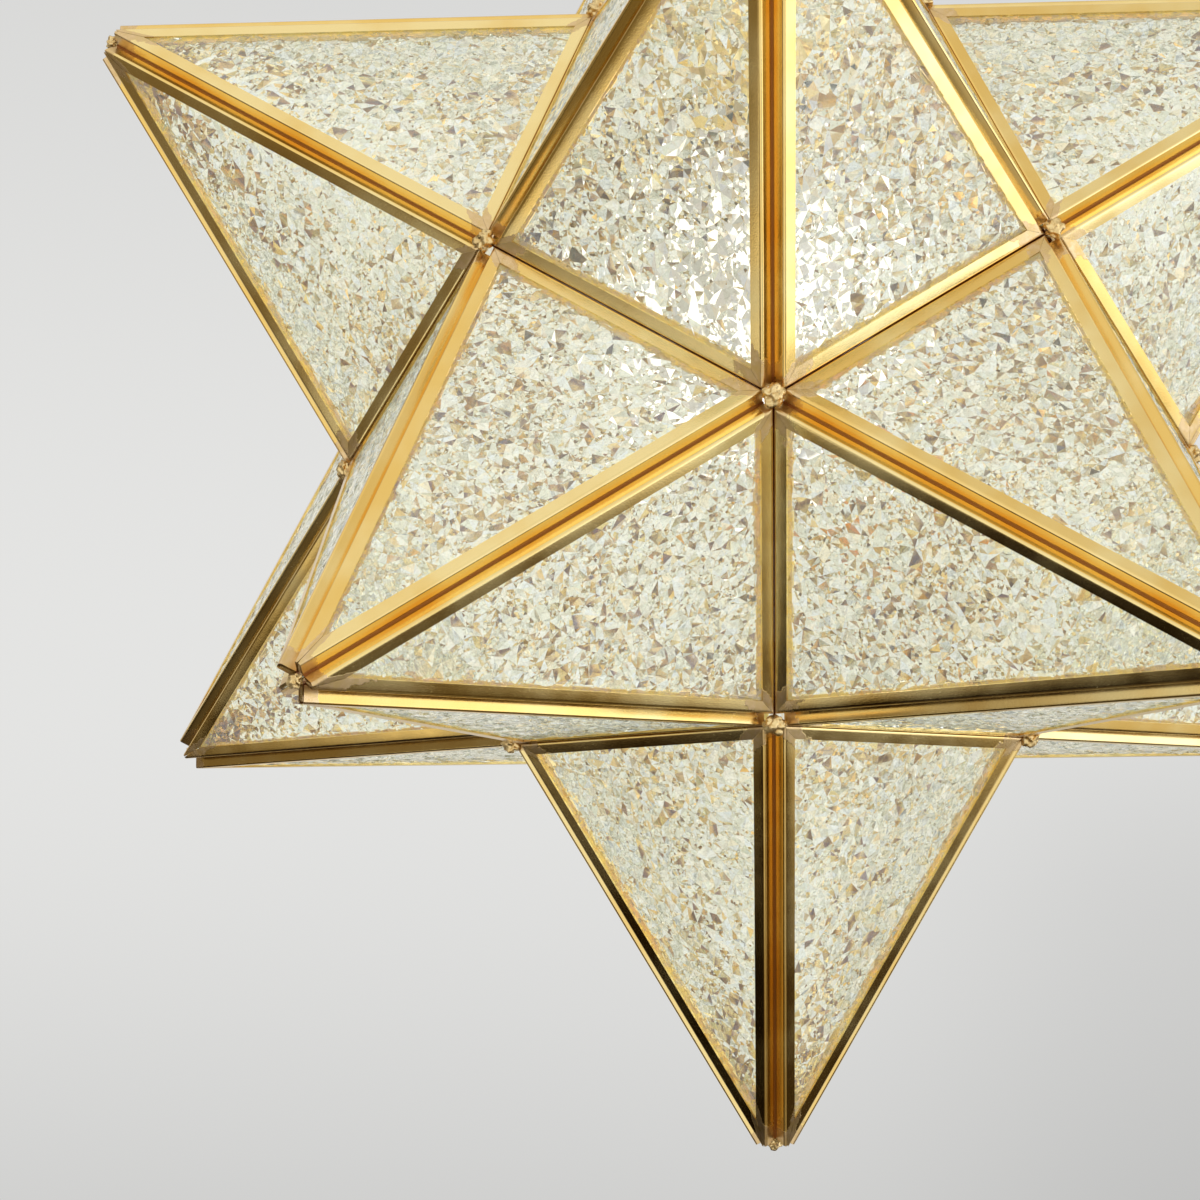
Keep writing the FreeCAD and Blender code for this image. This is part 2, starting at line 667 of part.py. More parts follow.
def corner_beads():
    """Beads in the hollows where three points meet; one by the door keeps off it."""
    corner_height = EDGE * (GOLDEN * math.sqrt(3) / 2)
    beads = []
    for index, (direction, trio) in enumerate(star_corners(), start=1):
        radius = RIDGE_INSET + S["corner_swell"]
        steps = []
        if DOOR in trio:
            radius = radius - S["door_bead_relief"]
            away = POINTS[DOOR][0] * -1
            away = away - direction * away.dot(direction)
            steps = [(away.normalize(), S["door_bead_relief"])]
        beads.append(bead("corner_bead_%d" % index, direction, corner_height, radius, steps))
    return beads


# The hinge lies outside the crease between the door and the top point. Its own
# axes: x towards the door, z out of the star, y along the hinge.


def hinge_frame():
    tip, side = POINTS[DOOR]
    outward = (side * PENTAGON_INRADIUS.value + tip * BASE_HEIGHT.value).normalize()
    to_door = (tip - outward * tip.dot(outward)).normalize()
    rotation = App.Rotation(to_door, outward.cross(to_door), outward, "ZXY")
    return outward, rotation


def hinge_body(label):
    outward, rotation = hinge_frame()
    body = doc.addObject("PartDesign::Body", label)
    body.AllowCompound = True
    place_at(body, [(outward, CREASE_HEIGHT)], rotation)
    return save_later(body)


def on_leaf(side, along, height):
    """A point on one leaf: along the pane's slope from the crease, and above its face."""
    along, height = size(along), size(height)
    return (
        (along * SIN_HALF - height * COS_HALF) * side,
        along * COS_HALF + height * SIN_HALF,
    )


def leaf_outline(side, corners):
    outline = [on_leaf(side, along, height) for along, height in corners]
    return outline if side > 0 else outline[::-1]


def hinge_leaf(label, side, first_knuckle, knuckles, bore):
    """One leaf with its knuckles; side is +1 on the door and -1 on the star."""
    body = hinge_body(label)
    low = S["solder_film"]
    high = low + S["leaf_sheet"]
    near, far = S["leaf_start"], S["came_gap"] + S["flange"]
    plate = new_sketch(body, "plate", "XZ_Plane")
    corners = [(near, low), (far, low), (far, high), (near, high)]
    draw_outline(plate, leaf_outline(side, corners))
    add_pad(body, plate, S["hinge_width"], side="Symmetric")

    pitch = S["hinge_width"] * 0.2
    length = pitch - S["knuckle_gap"]
    middle = first_knuckle * pitch - S["hinge_width"] * 0.5 + pitch * 0.5
    knuckle_end = middle + length * 0.5
    web = new_sketch(body, "web", "XZ_Plane", (0, 0, -knuckle_end))
    reach = AXIS_FOOT + S["knuckle_radius"]
    corners = [(AXIS_FOOT, low), (reach, low), (reach, S["axis_height"]),
               (AXIS_FOOT, S["axis_height"])]
    draw_outline(web, leaf_outline(side, corners))
    web_pad = add_pad(body, web, length)
    barrel = new_sketch(body, "barrel", "XZ_Plane", (0, 0, -knuckle_end))
    draw_circle(barrel, 0, AXIS_RISE, S["knuckle_radius"])
    barrel_pad = add_pad(body, barrel, length)
    row = body.newObject("PartDesign::LinearPattern", label + "_row")
    row.Originals = [web_pad, barrel_pad]
    row.Direction = (origin_feature(body, "Y_Axis"), [""])
    run = pitch * (2 * (knuckles - 1))
    row.Length = run.value
    row.setExpression("Length", run.text)
    row.Occurrences = knuckles
    body.Tip = row
    doc.recompute()
    hole = new_sketch(body, "bore", "XZ_Plane")
    draw_circle(hole, 0, AXIS_RISE, bore)
    add_pocket(body, hole, S["hinge_width"] * 2, side="Symmetric")
    return body


def hinge_pin():
    body = hinge_body("hinge_pin")
    shank = new_sketch(body, "shank", "XZ_Plane")
    draw_circle(shank, 0, AXIS_RISE, S["pin_radius"])
    head = S["pin_head_height"]
    overall = S["hinge_width"] + (S["knuckle_gap"] + head) * 2
    add_pad(body, shank, overall, side="Symmetric")
    for name, sign in (("near", 1), ("far", -1)):
        start = (S["hinge_width"] * 0.5 + S["knuckle_gap"]) * sign
        end = new_sketch(body, name + "_head", "XZ_Plane", (0, 0, start))
        draw_circle(end, 0, AXIS_RISE, S["pin_head"])
        add_pad(body, end, head, backwards=(sign < 0))
    return body


def lifting_tab():
    """A flat tab soldered upright in the groove of the door's lowest ridge."""
    body = new_body("access_lifting_tab", point_rotation(DOOR))
    rise = (S["star_radius"] - BASE_HEIGHT).value / RIDGE_LENGTH.value
    run = PENTAGON_RADIUS.value / RIDGE_LENGTH.value

    def on_ridge(along, height):
        along, height = size(along), size(height)
        return (
            along * run - PENTAGON_RADIUS - height * rise,
            BASE_HEIGHT + along * rise + height * run,
        )

    groove = CAME_DEPTH * (1 / SIN_HALF)
    seat = (S["tab_thickness"] * 0.5 + S["solder_film"] * 2) * GOLDEN - groove
    near = S["tab_place"]
    far = near + S["tab_length"]
    shoulder = S["tab_height"] - S["tab_rise"]
    half = S["tab_length"] * 0.5
    crown = (half * half + S["tab_rise"] * S["tab_rise"]) / (S["tab_rise"] * 2)
    side = new_sketch(body, "side", "XZ_Plane")
    draw_outline(
        side,
        [
            on_ridge(near, seat),
            on_ridge(far, seat),
            on_ridge(far, shoulder) + (crown,),
            on_ridge(near, shoulder),
        ],
    )
    add_pad(body, side, S["tab_thickness"], side="Symmetric")
    hole = new_sketch(body, "hole", "XZ_Plane")
    x, y = on_ridge(near + half, shoulder)
    draw_circle(hole, x, y, S["tab_hole"])
    add_pocket(body, hole, S["tab_thickness"] + OVERRUN, side="Symmetric")
    return body


# Hanging hardware on the top point.


def pentagon(inradius):
    """Corners of a pentagon whose first side faces the front."""
    corners = []
    for index in range(POINT_SIDES):
        direction = compass(36 + 72 * index)
        corners.append((inradius * (direction.x / COS36), inradius * (direction.y / COS36)))
    return corners


def cone_inradius(height, offset):
    """Inradius of the top point's outer faces at a height, moved out by an offset."""
    return (S["star_radius"] - height) * 0.5 + offset * (1 / SIN_SLOPE)


def add_pyramid(body, kind, name, low, high, offset):
    """A five-sided frustum that follows the top point's faces."""
    foot = new_sketch(body, name + "_foot", "XY_Plane", (0, 0, low))
    draw_outline(foot, pentagon(cone_inradius(low, offset)))
    head = new_sketch(body, name + "_head", "XY_Plane", (0, 0, high))
    draw_outline(head, pentagon(cone_inradius(high, offset)))
    loft = body.newObject(kind, "%s_%s" % (body.Label, name))
    loft.Profile = foot
    loft.Sections = [head]
    loft.Ruled = True
    doc.recompute()


def top_cap():
    body = new_body("top_cap")
    foot = CUT_HEIGHT - S["cap_skirt"]
    outside = S["cap_play"] + S["cap_sheet"]
    add_pyramid(body, "PartDesign::AdditiveLoft", "outside", foot, CAP_TOP, outside)
    ceiling = CUT_HEIGHT + S["cap_play"]
    add_pyramid(body, "PartDesign::SubtractiveLoft", "inside", foot, ceiling, S["cap_play"])
    hole = new_sketch(body, "hole", "XY_Plane", (0, 0, ceiling))
    draw_circle(hole, 0, 0, S["nipple_radius"] + S["hole_play"])
    add_pocket(body, hole, S["cap_plate"] * 2, side="Symmetric")


def clamp_plate():
    """A round plate that bears on the inside of the cut point's five faces."""
    radius = cone_inradius(CLAMP_TOP, -CAME_DEPTH - S["cap_play"])
    hole = S["nipple_radius"] + S["hole_play"]
    turned_body("clamp_plate", tube_corners(hole, radius, CLAMP_TOP - S["clamp_sheet"], CLAMP_TOP))


def spring_washer():
    body = turned_body(
        "spring_washer",
        tube_corners(
            S["nipple_radius"] + S["hole_play"],
            S["washer_radius"],
            WASHER_TOP - S["washer_sheet"],
            WASHER_TOP,
        ),
    )
    slot = new_sketch(body, "slot", "XY_Plane", (0, 0, WASHER_TOP))
    half = S["washer_slot"] * 0.5
    far = S["washer_radius"] + OVERRUN
    near = S["nipple_radius"] - OVERRUN
    draw_outline(slot, [(near, -half), (far, -half), (far, half), (near, half)])
    add_pocket(body, slot, S["washer_sheet"] * 2, side="Symmetric")


def nipple_nuts():
    """Two hexagon nuts, one under the clamp plate and one on the socket cap's neck."""
    body = new_body("nipple_nuts")
    for name, top in (("upper", UPPER_NUT_TOP), ("lower", LOWER_NUT_TOP)):
        hexagon = new_sketch(body, name, "XY_Plane", (0, 0, top))
        corner = S["nut_flats"] * (1 / math.sqrt(3))
        corners = []
        for index in range(6):
            angle = math.radians(60 * index)
            corners.append((corner * math.cos(angle), corner * math.sin(angle)))
        draw_outline(hexagon, corners)
        draw_circle(hexagon, 0, 0, S["nipple_radius"] + S["thread_gap"])
        add_pad(body, hexagon, S["nut_height"], backwards=True)


def nipple():
    chamfer = S["nipple_chamfer"]
    inner, outer = S["nipple_bore"], S["nipple_radius"]
    turned_body(
        "nipple",
        [
            (inner, NIPPLE_FOOT),
            (outer - chamfer, NIPPLE_FOOT),
            (outer, NIPPLE_FOOT + chamfer),
            (outer, NIPPLE_TOP - chamfer),
            (outer - chamfer, NIPPLE_TOP),
            (inner, NIPPLE_TOP),
        ],
    )


def circle_edges(shape, radius, centre):
    """Full circles of one radius about a horizontal axis through a centre."""
    names = []
    for index, edge in enumerate(shape.Edges, start=1):
        curve = edge.Curve
        if not isinstance(curve, Part.Circle) or abs(curve.Radius - radius) > 1e-6:
            continue
        if abs(curve.Center.z - centre) < 1e-6 and abs(curve.Center.x) < 1e-6:
            names.append("Edge%d" % index)
    return names


def hanging_loop():
    """A ring on a threaded collar, with the cord's way through the collar."""
    body = new_body("hanging_loop")
    ring = new_sketch(body, "ring", "XZ_Plane")
    draw_circle(ring, 0, EYE_HEIGHT, RING_RADIUS)
    draw_circle(ring, 0, EYE_HEIGHT, S["eye_radius"])
    ring_pad = add_pad(body, ring, S["ring_width"], side="Symmetric")
    edges = circle_edges(ring_pad.Shape, S["eye_radius"].value, EYE_HEIGHT.value)
    edges += circle_edges(ring_pad.Shape, RING_RADIUS.value, EYE_HEIGHT.value)
    round_edges(body, ring_pad, edges, S["ring_round"])
    collar = new_sketch(body, "collar", "XZ_Plane")
    chamfer = S["collar_chamfer"]
    radius = S["collar_radius"]
    draw_outline(
        collar,
        [
            (0, COLLAR_BOTTOM),
            (radius, COLLAR_BOTTOM),
            (radius, COLLAR_TOP - chamfer),
            (radius - chamfer, COLLAR_TOP),
            (0, COLLAR_TOP),
        ],
    )
    add_revolution(body, collar)
    thread = new_sketch(body, "thread", "XY_Plane", (0, 0, COLLAR_BOTTOM))
    draw_circle(thread, 0, 0, S["nipple_radius"] + S["thread_gap"])
    add_pocket(body, thread, S["thread_depth"] + S["thread_runout"], backwards=True)
    way = new_sketch(body, "cord_way", "XY_Plane", (0, 0, EYE_HEIGHT))
    draw_circle(way, 0, 0, BUSHING_RADIUS + S["thread_gap"])
    add_pocket(body, way, EYE_HEIGHT - COLLAR_BOTTOM)


def cord_bushing():
    """A plastic bushing that lines the cord's way under the eye's floor."""
    floor = EYE_HEIGHT - S["eye_radius"]
    foot = NIPPLE_TOP + S["thread_runout"] + S["stack_gap"]
    lip = floor - S["bushing_recess"]
    bore = S["bushing_bore"]
    mouth = S["bushing_round"]
    turned_body(
        "cord_bushing",
        [
            (bore, foot),
            (BUSHING_RADIUS, foot),
            (BUSHING_RADIUS, lip - mouth, mouth),
            (BUSHING_RADIUS - mouth, lip),
            (bore, lip),
        ],
    )


# The lamp holder.


def socket_cap():
    """A bell that screws on the nipple and closes the top of the holder."""
    wall = S["socket_cap_wall"]
    outside = SHELL_OUTSIDE + S["socket_cap_fit"] + wall
    neck = S["socket_neck_radius"]
    bevel = S["neck_chamfer"]
    bore = S["nipple_radius"] + S["thread_gap"]
    skirt = SOCKET_SHOULDER - S["socket_dome"]
    turned_body(
        "socket_cap",
        [
            (outside - wall, CAP_FOOT),
            (outside, CAP_FOOT),
            (outside, skirt, S["dome_radius"]),
            (neck, SOCKET_SHOULDER),
            (neck, NECK_TOP - bevel),
            (neck - bevel, NECK_TOP),
            (bore, NECK_TOP),
            (bore, SOCKET_SHOULDER - wall),
            (neck - wall, SOCKET_SHOULDER - wall, wall - S["dome_radius"]),
            (outside - wall, skirt),
        ],
    )


def socket_cap_screw_hole():
    """The radial hole of the locking screw in the cap's neck."""
    body = next(item for item in parts_to_save if item.Label == "socket_cap")
    hole = new_sketch(body, "screw_hole", "YZ_Plane")
    draw_circle(hole, 0, SET_SCREW_HEIGHT, S["set_screw_radius"] + S["thread_gap"])
    add_pocket(body, hole, S["socket_neck_radius"] + OVERRUN, backwards=True)


def socket_set_screw():
    body = new_body("socket_set_screw")
    shank = new_sketch(
        body, "shank", "YZ_Plane", (0, 0, S["nipple_radius"] + S["thread_gap"])
    )
    draw_circle(shank, 0, SET_SCREW_HEIGHT, S["set_screw_radius"])
    add_pad(body, shank, S["socket_neck_radius"] - S["nipple_radius"] + S["set_screw_proud"])
    slot = new_sketch(body, "slot", "XZ_Plane")
    face = S["socket_neck_radius"] + S["thread_gap"] + S["set_screw_proud"]
    floor = face - S["screw_slot"]
    low = SET_SCREW_HEIGHT - S["screw_slot"] * 0.5
    high = SET_SCREW_HEIGHT + S["screw_slot"] * 0.5
    outer = face + OVERRUN
    draw_outline(slot, [(floor, low), (outer, low), (outer, high), (floor, high)])
    add_pocket(body, slot, (S["set_screw_radius"] + OVERRUN) * 2, side="Symmetric")


def socket_shell():
    """The outer metal shell, with a rolled lip at its mouth."""
    head = CAP_FOOT + S["shell_overlap"]
    foot = head - S["shell_length"]
    lip = S["shell_lip"]
    turned_body(
        "socket_shell",
        [
            (SHELL_RADIUS, foot),
            (SHELL_OUTSIDE + S["lip_flare"], foot, lip),
            (SHELL_OUTSIDE, foot + lip),
            (SHELL_OUTSIDE, head),
            (SHELL_RADIUS, head),
        ],
    )


def socket_liner():
    foot = CAP_FOOT + S["shell_overlap"] - S["shell_length"] + S["liner_recess"]
    turned_body(
        "socket_liner", tube_corners(LINER_RADIUS, LINER_RADIUS + S["liner_wall"], foot, BASE_TOP)
    )


def screw_shell():
    """The threaded sleeve that the lamp screws into, with a shoulder under the base."""
    head = BASE_FACE - S["stack_gap"]
    foot = head - S["screw_shell_length"]
    shoulder = head - S["screw_shell_wall"]
    rim = SCREW_SHELL_RADIUS - S["screw_shell_rim"]
    turned_body(
        "screw_shell",
        [
            (SCREW_SHELL_RADIUS, foot),
            (SCREW_SHELL_OUTSIDE, foot),
            (SCREW_SHELL_OUTSIDE, head),
            (rim, head),
            (rim, shoulder),
            (SCREW_SHELL_RADIUS, shoulder),
        ],
    )


def socket_base():
    """The insulating base, with a hole for each terminal screw."""
    outside = LINER_RADIUS - S["base_play"]
    rim = S["terminal_place"] + S["terminal_radius"] + S["terminal_room"]
    body = turned_body(
        "socket_base",
        [
            (0, BASE_FACE),
            (outside, BASE_FACE),
            (outside, BASE_TOP),
            (rim, BASE_TOP),
            (rim, TERMINAL_FLOOR),
            (0, TERMINAL_FLOOR),
        ],
    )
    holes = new_sketch(body, "screw_holes", "XY_Plane", (0, 0, BASE_TOP))
    for sign in (-1, 1):
        draw_circle(holes, S["terminal_place"] * sign, 0, TERMINAL_SHANK + S["thread_gap"])
    add_pocket(body, holes, S["terminal_hole"])


def terminal_screws():
    """Two screws for the wires, with slotted heads."""
    body = new_body("terminal_screws")
    floor = TERMINAL_FLOOR + S["stack_gap"]
    top = floor + S["terminal_head"]
    length = S["terminal_hole"] - S["terminal_recess"] - S["terminal_end"]
    for name, sign in (("left", -1), ("right", 1)):
        centre = S["terminal_place"] * sign
        shank = new_sketch(body, name + "_shank", "XY_Plane", (0, 0, floor))
        draw_circle(shank, centre, 0, TERMINAL_SHANK)
        add_pad(body, shank, length, backwards=True)
        head = new_sketch(body, name + "_head", "XY_Plane", (0, 0, floor))
        draw_circle(head, centre, 0, S["terminal_radius"])
        add_pad(body, head, S["terminal_head"])
    slots = new_sketch(body, "slots", "XZ_Plane")
    half = S["terminal_radius"] + OVERRUN
    low = top - S["screw_slot"]
    high = top + OVERRUN
    for sign in (-1, 1):
        left = S["terminal_place"] * sign - half
        right = S["terminal_place"] * sign + half
        draw_outline(slots, [(left, low), (right, low), (right, high), (left, high)])
    add_pocket(body, slots, S["screw_slot"], side="Symmetric")


def centre_contact():
    """A bent spring strip under the base that presses on the lamp's contact."""
    body = new_body("centre_contact")
    strip = new_sketch(body, "strip", "XZ_Plane")
    top = BASE_FACE - S["stack_gap"]
    touch = S["lamp_seat"] + S["lamp_gap"]
    sheet = S["contact_sheet"]
    foot, knee = S["contact_foot"], S["contact_knee"]
    pad, toe = S["contact_pad"], S["contact_toe"]
    tip = touch + S["contact_lift"]
    # Its upper bends sit half a sheet nearer the pad's middle, so the strip keeps its thickness.
    inner_pad = pad - sheet * 0.5
    inner_knee = knee - sheet * 0.5
    draw_outline(
        strip,
        [
            (-foot, top - sheet),
            (-knee, top - sheet),
            (-pad, touch),
            (pad, touch),
            (toe, tip),
            (toe, tip + sheet),
            (inner_pad, touch + sheet),
            (-inner_pad, touch + sheet),
            (-inner_knee, top),
            (-foot, top),
        ],
    )
    add_pad(body, strip, S["contact_width"], side="Symmetric")


# The lamp. Its heights are measured down from its contact.


def below_seat(distance):
    return S["lamp_seat"] - distance


def lamp_wall(radius, neck, swell):
    """Where the neck's hollow curve meets the bulb, and the hollow curve's radius."""
    centre = S["lamp_length"] - S["lamp_radius"]
    reach = centre - S["lamp_neck_end"]
    curve = (reach * reach / (S["lamp_radius"] - S["lamp_neck"])
             - (S["lamp_radius"] + S["lamp_neck"])) * 0.5
    span = curve + S["lamp_radius"]
    out = radius / span
    meet = ((curve + S["lamp_neck"]) * out, centre - reach * out)
    return meet, curve + swell, centre


def lamp_envelope():
    glass = S["lamp_glass"]
    top = S["lamp_cap_length"] - S["lamp_collar"]
    neck = S["lamp_neck"]
    inner_neck = neck - glass
    outer, outer_curve, centre = lamp_wall(S["lamp_radius"], neck, 0)
    inner, inner_curve, centre = lamp_wall(S["lamp_radius"] - glass, inner_neck, glass)
    collar = CAP_ROOT - S["lamp_cap_wall"] - S["lamp_cement"]
    shoulder = S["lamp_cap_length"] + S["lamp_cement"]
    fold = shoulder + glass
    turned_body(
        "lamp_envelope",
        [
            (0, below_seat(S["lamp_length"]), S["lamp_radius"]),
            (outer[0], below_seat(outer[1]), -outer_curve),
            (neck, below_seat(S["lamp_neck_end"])),
            (neck, below_seat(shoulder)),
            (collar, below_seat(shoulder)),
            (collar, below_seat(top)),
            (collar - glass, below_seat(top)),
            (collar - glass, below_seat(fold)),
            (inner_neck, below_seat(fold + S["lamp_fold"])),
            (inner_neck, below_seat(S["lamp_neck_end"]), inner_curve),
            (inner[0], below_seat(inner[1]), -(S["lamp_radius"] - glass)),
            (0, below_seat(S["lamp_length"] - glass)),
        ],
    )


def lamp_cap():
    """A thin screw cap whose thread is rolled in the sheet, here as plain rings."""
    crest = S["lamp_cap_radius"]
    bevel = S["cap_chamfer"]
    start = S["contact_height"] + S["insulator_height"] + S["lamp_cement"]
    pitch = S["thread_pitch"]
    outside = [(CAP_ROOT - bevel, below_seat(start)), (CAP_ROOT, below_seat(start + bevel))]
    for turn in range(CAP_THREADS):
        first = start + S["thread_start"] + pitch * turn
        outside.append((CAP_ROOT, below_seat(first)))
        outside.append((crest, below_seat(first + pitch * 0.25)))
        outside.append((crest, below_seat(first + pitch * 0.45)))
        outside.append((CAP_ROOT, below_seat(first + pitch * 0.7)))
    outside.append((CAP_ROOT, below_seat(S["lamp_cap_length"])))
    inside = [(x - S["lamp_cap_wall"], y) for x, y in outside]
    turned_body("lamp_cap", outside[::-1] + inside)


def lamp_insulator():
    top = S["contact_height"]
    foot = top + S["insulator_height"]
    bore = S["contact_radius"] * 0.5
    turned_body(
        "lamp_insulator",
        [
            (bore, below_seat(foot)),
            (CAP_ROOT - S["insulator_play"], below_seat(foot)),
            (S["contact_radius"] + S["insulator_rim"], below_seat(top)),
            (bore, below_seat(top)),
        ],
    )


def lamp_contact():
    """A domed button with a short shank in the insulator."""
    radius = S["contact_radius"]
    dome = S["contact_dome"]
    curve = (radius * radius + dome * dome) / (dome * 2)
    shank = radius * 0.5 - S["stack_gap"]
    foot = S["contact_height"] + S["contact_shank"]
    back = S["contact_height"] - S["stack_gap"]
    turned_body(
        "lamp_contact",
        [
            (0, below_seat(foot)),
            (shank, below_seat(foot)),
            (shank, below_seat(back)),
            (radius, below_seat(back)),
            (radius, below_seat(dome), curve),
            (0, below_seat(0)),
        ],
    )


def lamp_stem():
    """The glass stem that carries the light-giving rods, flared to meet the cap."""
    collar = CAP_ROOT - S["lamp_cap_wall"] - S["lamp_cement"] - S["lamp_glass"]
    flare = collar - S["stem_play"]
    foot = S["lamp_cap_length"] - S["stem_foot"]
    radius = S["stem_radius"]
    reach = ROD_END + S["stem_overrun"]
    turned_body(
        "lamp_stem",
        [
            (0, below_seat(reach)),
            (radius, below_seat(reach)),
            (radius, below_seat(foot + S["stem_flare"])),
            (flare, below_seat(foot + S["stem_rim"])),
            (flare, below_seat(foot)),
            (0, below_seat(foot)),
        ],
    )


def lamp_filaments():
    """Four rods that lean on the stem's end and stand clear of it above."""
    near = S["stem_radius"] + S["filament_radius"] + S["filament_gap"]
    rods = []
    for index in range(4):
        outward = compass(45 + 90 * index)
        rod = doc.addObject("Part::Cylinder", "filament_%d" % (index + 1))
        rod.Radius = S["filament_radius"].value
        rod.setExpression("Radius", S["filament_radius"].text)
        rod.Height = S["filament_length"].value
        rod.setExpression("Height", S["filament_length"].text)
        tilt = App.Rotation(Vec(0, 0, 1).cross(outward), ROD_LEAN)
        place_at(rod, [(Vec(0, 0, 1), below_seat(ROD_END)), (outward, near)], tilt)
        rods.append(rod)
    group = doc.addObject("Part::Compound", "lamp_filaments")
    group.Links = rods
    save_later(group)


def check_document():
    """Every object up to date, and every piece a valid, non-empty shape."""
    doc.recompute()
    for item in doc.Objects:
        if "Invalid" in item.State or "Error" in item.State:
            raise RuntimeError("%s did not recompute" % item.Label)
    for item in parts_to_save:
        if item.Shape.isNull() or not item.Shape.isValid() or not item.Shape.Solids:
            raise RuntimeError("%s has no valid solid" % item.Label)


def save_parts():
    os.makedirs("parts", exist_ok=True)
    for item in parts_to_save:
        item.Shape.exportStep("parts/%s.step" % item.Label)
        print("%-22s %3d solids" % (item.Label, len(item.Shape.Solids)))


def build_star():
    for point in POINTS:
        is_door = point == DOOR
        name = "access" if is_door else point
        gap = S["door_gap"] if is_door else S["came_gap"]
        came_point("came_" + name, point, gap, point == "top")
        glass_point("glass_" + name, point, gap, point == "top")
    fixed_tips = [point for point in POINTS if point not in ("top", DOOR)]
    bead_group("solder_tips", [tip_bead(point) for point in fixed_tips])
    bead_group("solder_corners", corner_beads())
    bead_group("access_solder_tip", [tip_bead(DOOR)])


def build_hinge():
    pin = S["pin_radius"]
    hinge_leaf("fixed_hinge_leaf", -1, 0, 3, pin + S["pin_seat"])
    hinge_leaf("access_hinge_leaf", 1, 1, 2, pin + S["pin_play"])
    hinge_pin()
    lifting_tab()


def build_hanging():
    top_cap()
    clamp_plate()
    spring_washer()
    nipple_nuts()
    nipple()
    hanging_loop()
    cord_bushing()


def build_lamp_holder():
    socket_cap()
    socket_cap_screw_hole()
    socket_set_screw()
    socket_shell()
    socket_liner()
    screw_shell()
    socket_base()
    terminal_screws()
    centre_contact()


def build_lamp():
    lamp_envelope()
    lamp_cap()
    lamp_insulator()
    lamp_contact()
    lamp_stem()
    lamp_filaments()


build_star()
build_hinge()
build_hanging()
build_lamp_holder()
build_lamp()
check_document()
save_parts()
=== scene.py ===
import math
import random

import bmesh
import bpy
from mathutils import Matrix, Vector, noise
from mathutils.geometry import delaunay_2d_cdt


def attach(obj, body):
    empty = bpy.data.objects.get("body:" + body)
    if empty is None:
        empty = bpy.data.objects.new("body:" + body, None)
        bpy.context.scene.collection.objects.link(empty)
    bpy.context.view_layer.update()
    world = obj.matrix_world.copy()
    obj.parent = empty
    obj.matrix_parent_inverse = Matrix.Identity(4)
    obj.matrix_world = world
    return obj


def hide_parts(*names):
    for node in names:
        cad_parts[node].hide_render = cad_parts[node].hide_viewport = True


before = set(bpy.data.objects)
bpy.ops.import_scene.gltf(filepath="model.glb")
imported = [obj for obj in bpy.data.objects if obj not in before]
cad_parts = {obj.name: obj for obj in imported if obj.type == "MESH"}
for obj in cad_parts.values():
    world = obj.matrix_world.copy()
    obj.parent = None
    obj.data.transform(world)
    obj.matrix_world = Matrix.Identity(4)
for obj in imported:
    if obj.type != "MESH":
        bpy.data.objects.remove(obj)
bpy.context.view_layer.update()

# The star's own measures, in metres, as the CAD has them.
STAR_RADIUS = 0.200
STAR_CENTRE = Vector((0.0, 0.0, -0.18785))
CUT_HEIGHT = 0.165
GOLDEN = (1 + math.sqrt(5)) / 2
EDGE = STAR_RADIUS / (GOLDEN**2 * math.sin(math.radians(72)))
PENTAGON_INRADIUS = EDGE / (2 * math.tan(math.radians(36)))
BASE_HEIGHT = EDGE * GOLDEN**2 / (2 * math.sqrt(3 - GOLDEN))
CORNER_HEIGHT = EDGE * GOLDEN * math.sqrt(3) / 2
SLOPE = math.atan(2)
SIN18, COS18 = math.sin(math.radians(18)), math.cos(math.radians(18))

# The brass came: a folded channel, with gaps for the solder and round the hinged point.
CAME_DEPTH = 0.0042
SHEET = 0.00055
FLANGE = 0.0031
RIDGE_BEND = 0.0006
BASE_BEND = 0.00035
CAME_GAP = 0.00005
DOOR_GAP = 0.0003
TIP_WIDTH = 0.0016
TIP_SOLDER = 0.001
SEAM = 0.0001
RIDGE_INSET = CAME_DEPTH / GOLDEN + CAME_GAP
GROOVE_FILL = 0.0002
CREASE_FILL_DEPTH = 0.001
TORCH_REACH = (0.001, 0.0115)
STRIP_DIP = (0.00002, 0.00012)
STRIP_SWAY = 0.00005
STRIP_WAVES = 60
STRIP_STEP = 0.004
STRIP_GIRTH = 0.012
STRIP_SEED = 100

# The panes: small broken facets, with larger flat flakes among them.
GLASS_MARGIN = SHEET + 0.00025
GLASS_TOP = SHEET + 0.00005
GLASS_THICKNESS = 0.003
GLASS_SKIN = 0.0001
GLASS_TIP = 0.0016
GLASS_SEED = 7
PANE_ROWS_HEIGHT = 0.125
RIM_STEP = 0.004
RIM_COVER = 0.0004
RIM_FADE_START = 0.0006
RIM_FADE = 0.0012
FACET = 0.0018
FACET_ROW = FACET * 0.87
FACET_DEPTH = 0.00038
FACETS_LEFT_OUT = 0.2
FACET_STRAY = FACET * 0.42
FLAKES = 90
FLAKES_HEIGHT = 0.115
FLAKE_REACH = (0.0012, 0.0026)
FLAKE_TILT = 0.24
FLAKE_LEVEL = 0.0001
# How far in from the came the painted reflection of its inner flange reaches.
PAINTED_REFLECTION_REACH = 0.0011

# The solder beads at the corners and the tips.
CORNER_BEAD = 0.00275
DOOR_CORNER_BEAD = 0.0024
DOOR_CORNER_SHIFT = 0.00035
TIP_BEAD = 0.0018
TIP_BEAD_RISE = 0.0019
BEAD_BODY = 0.86
BEAD_LUMPS = (1.7, 0.42)
BEAD_GRAINS = (4.5, 0.16)
NEIGHBOUR_POINTS = 0.44

LAMP_SHOULDER = STAR_CENTRE.z + 0.072
DOOR = "upper_3"

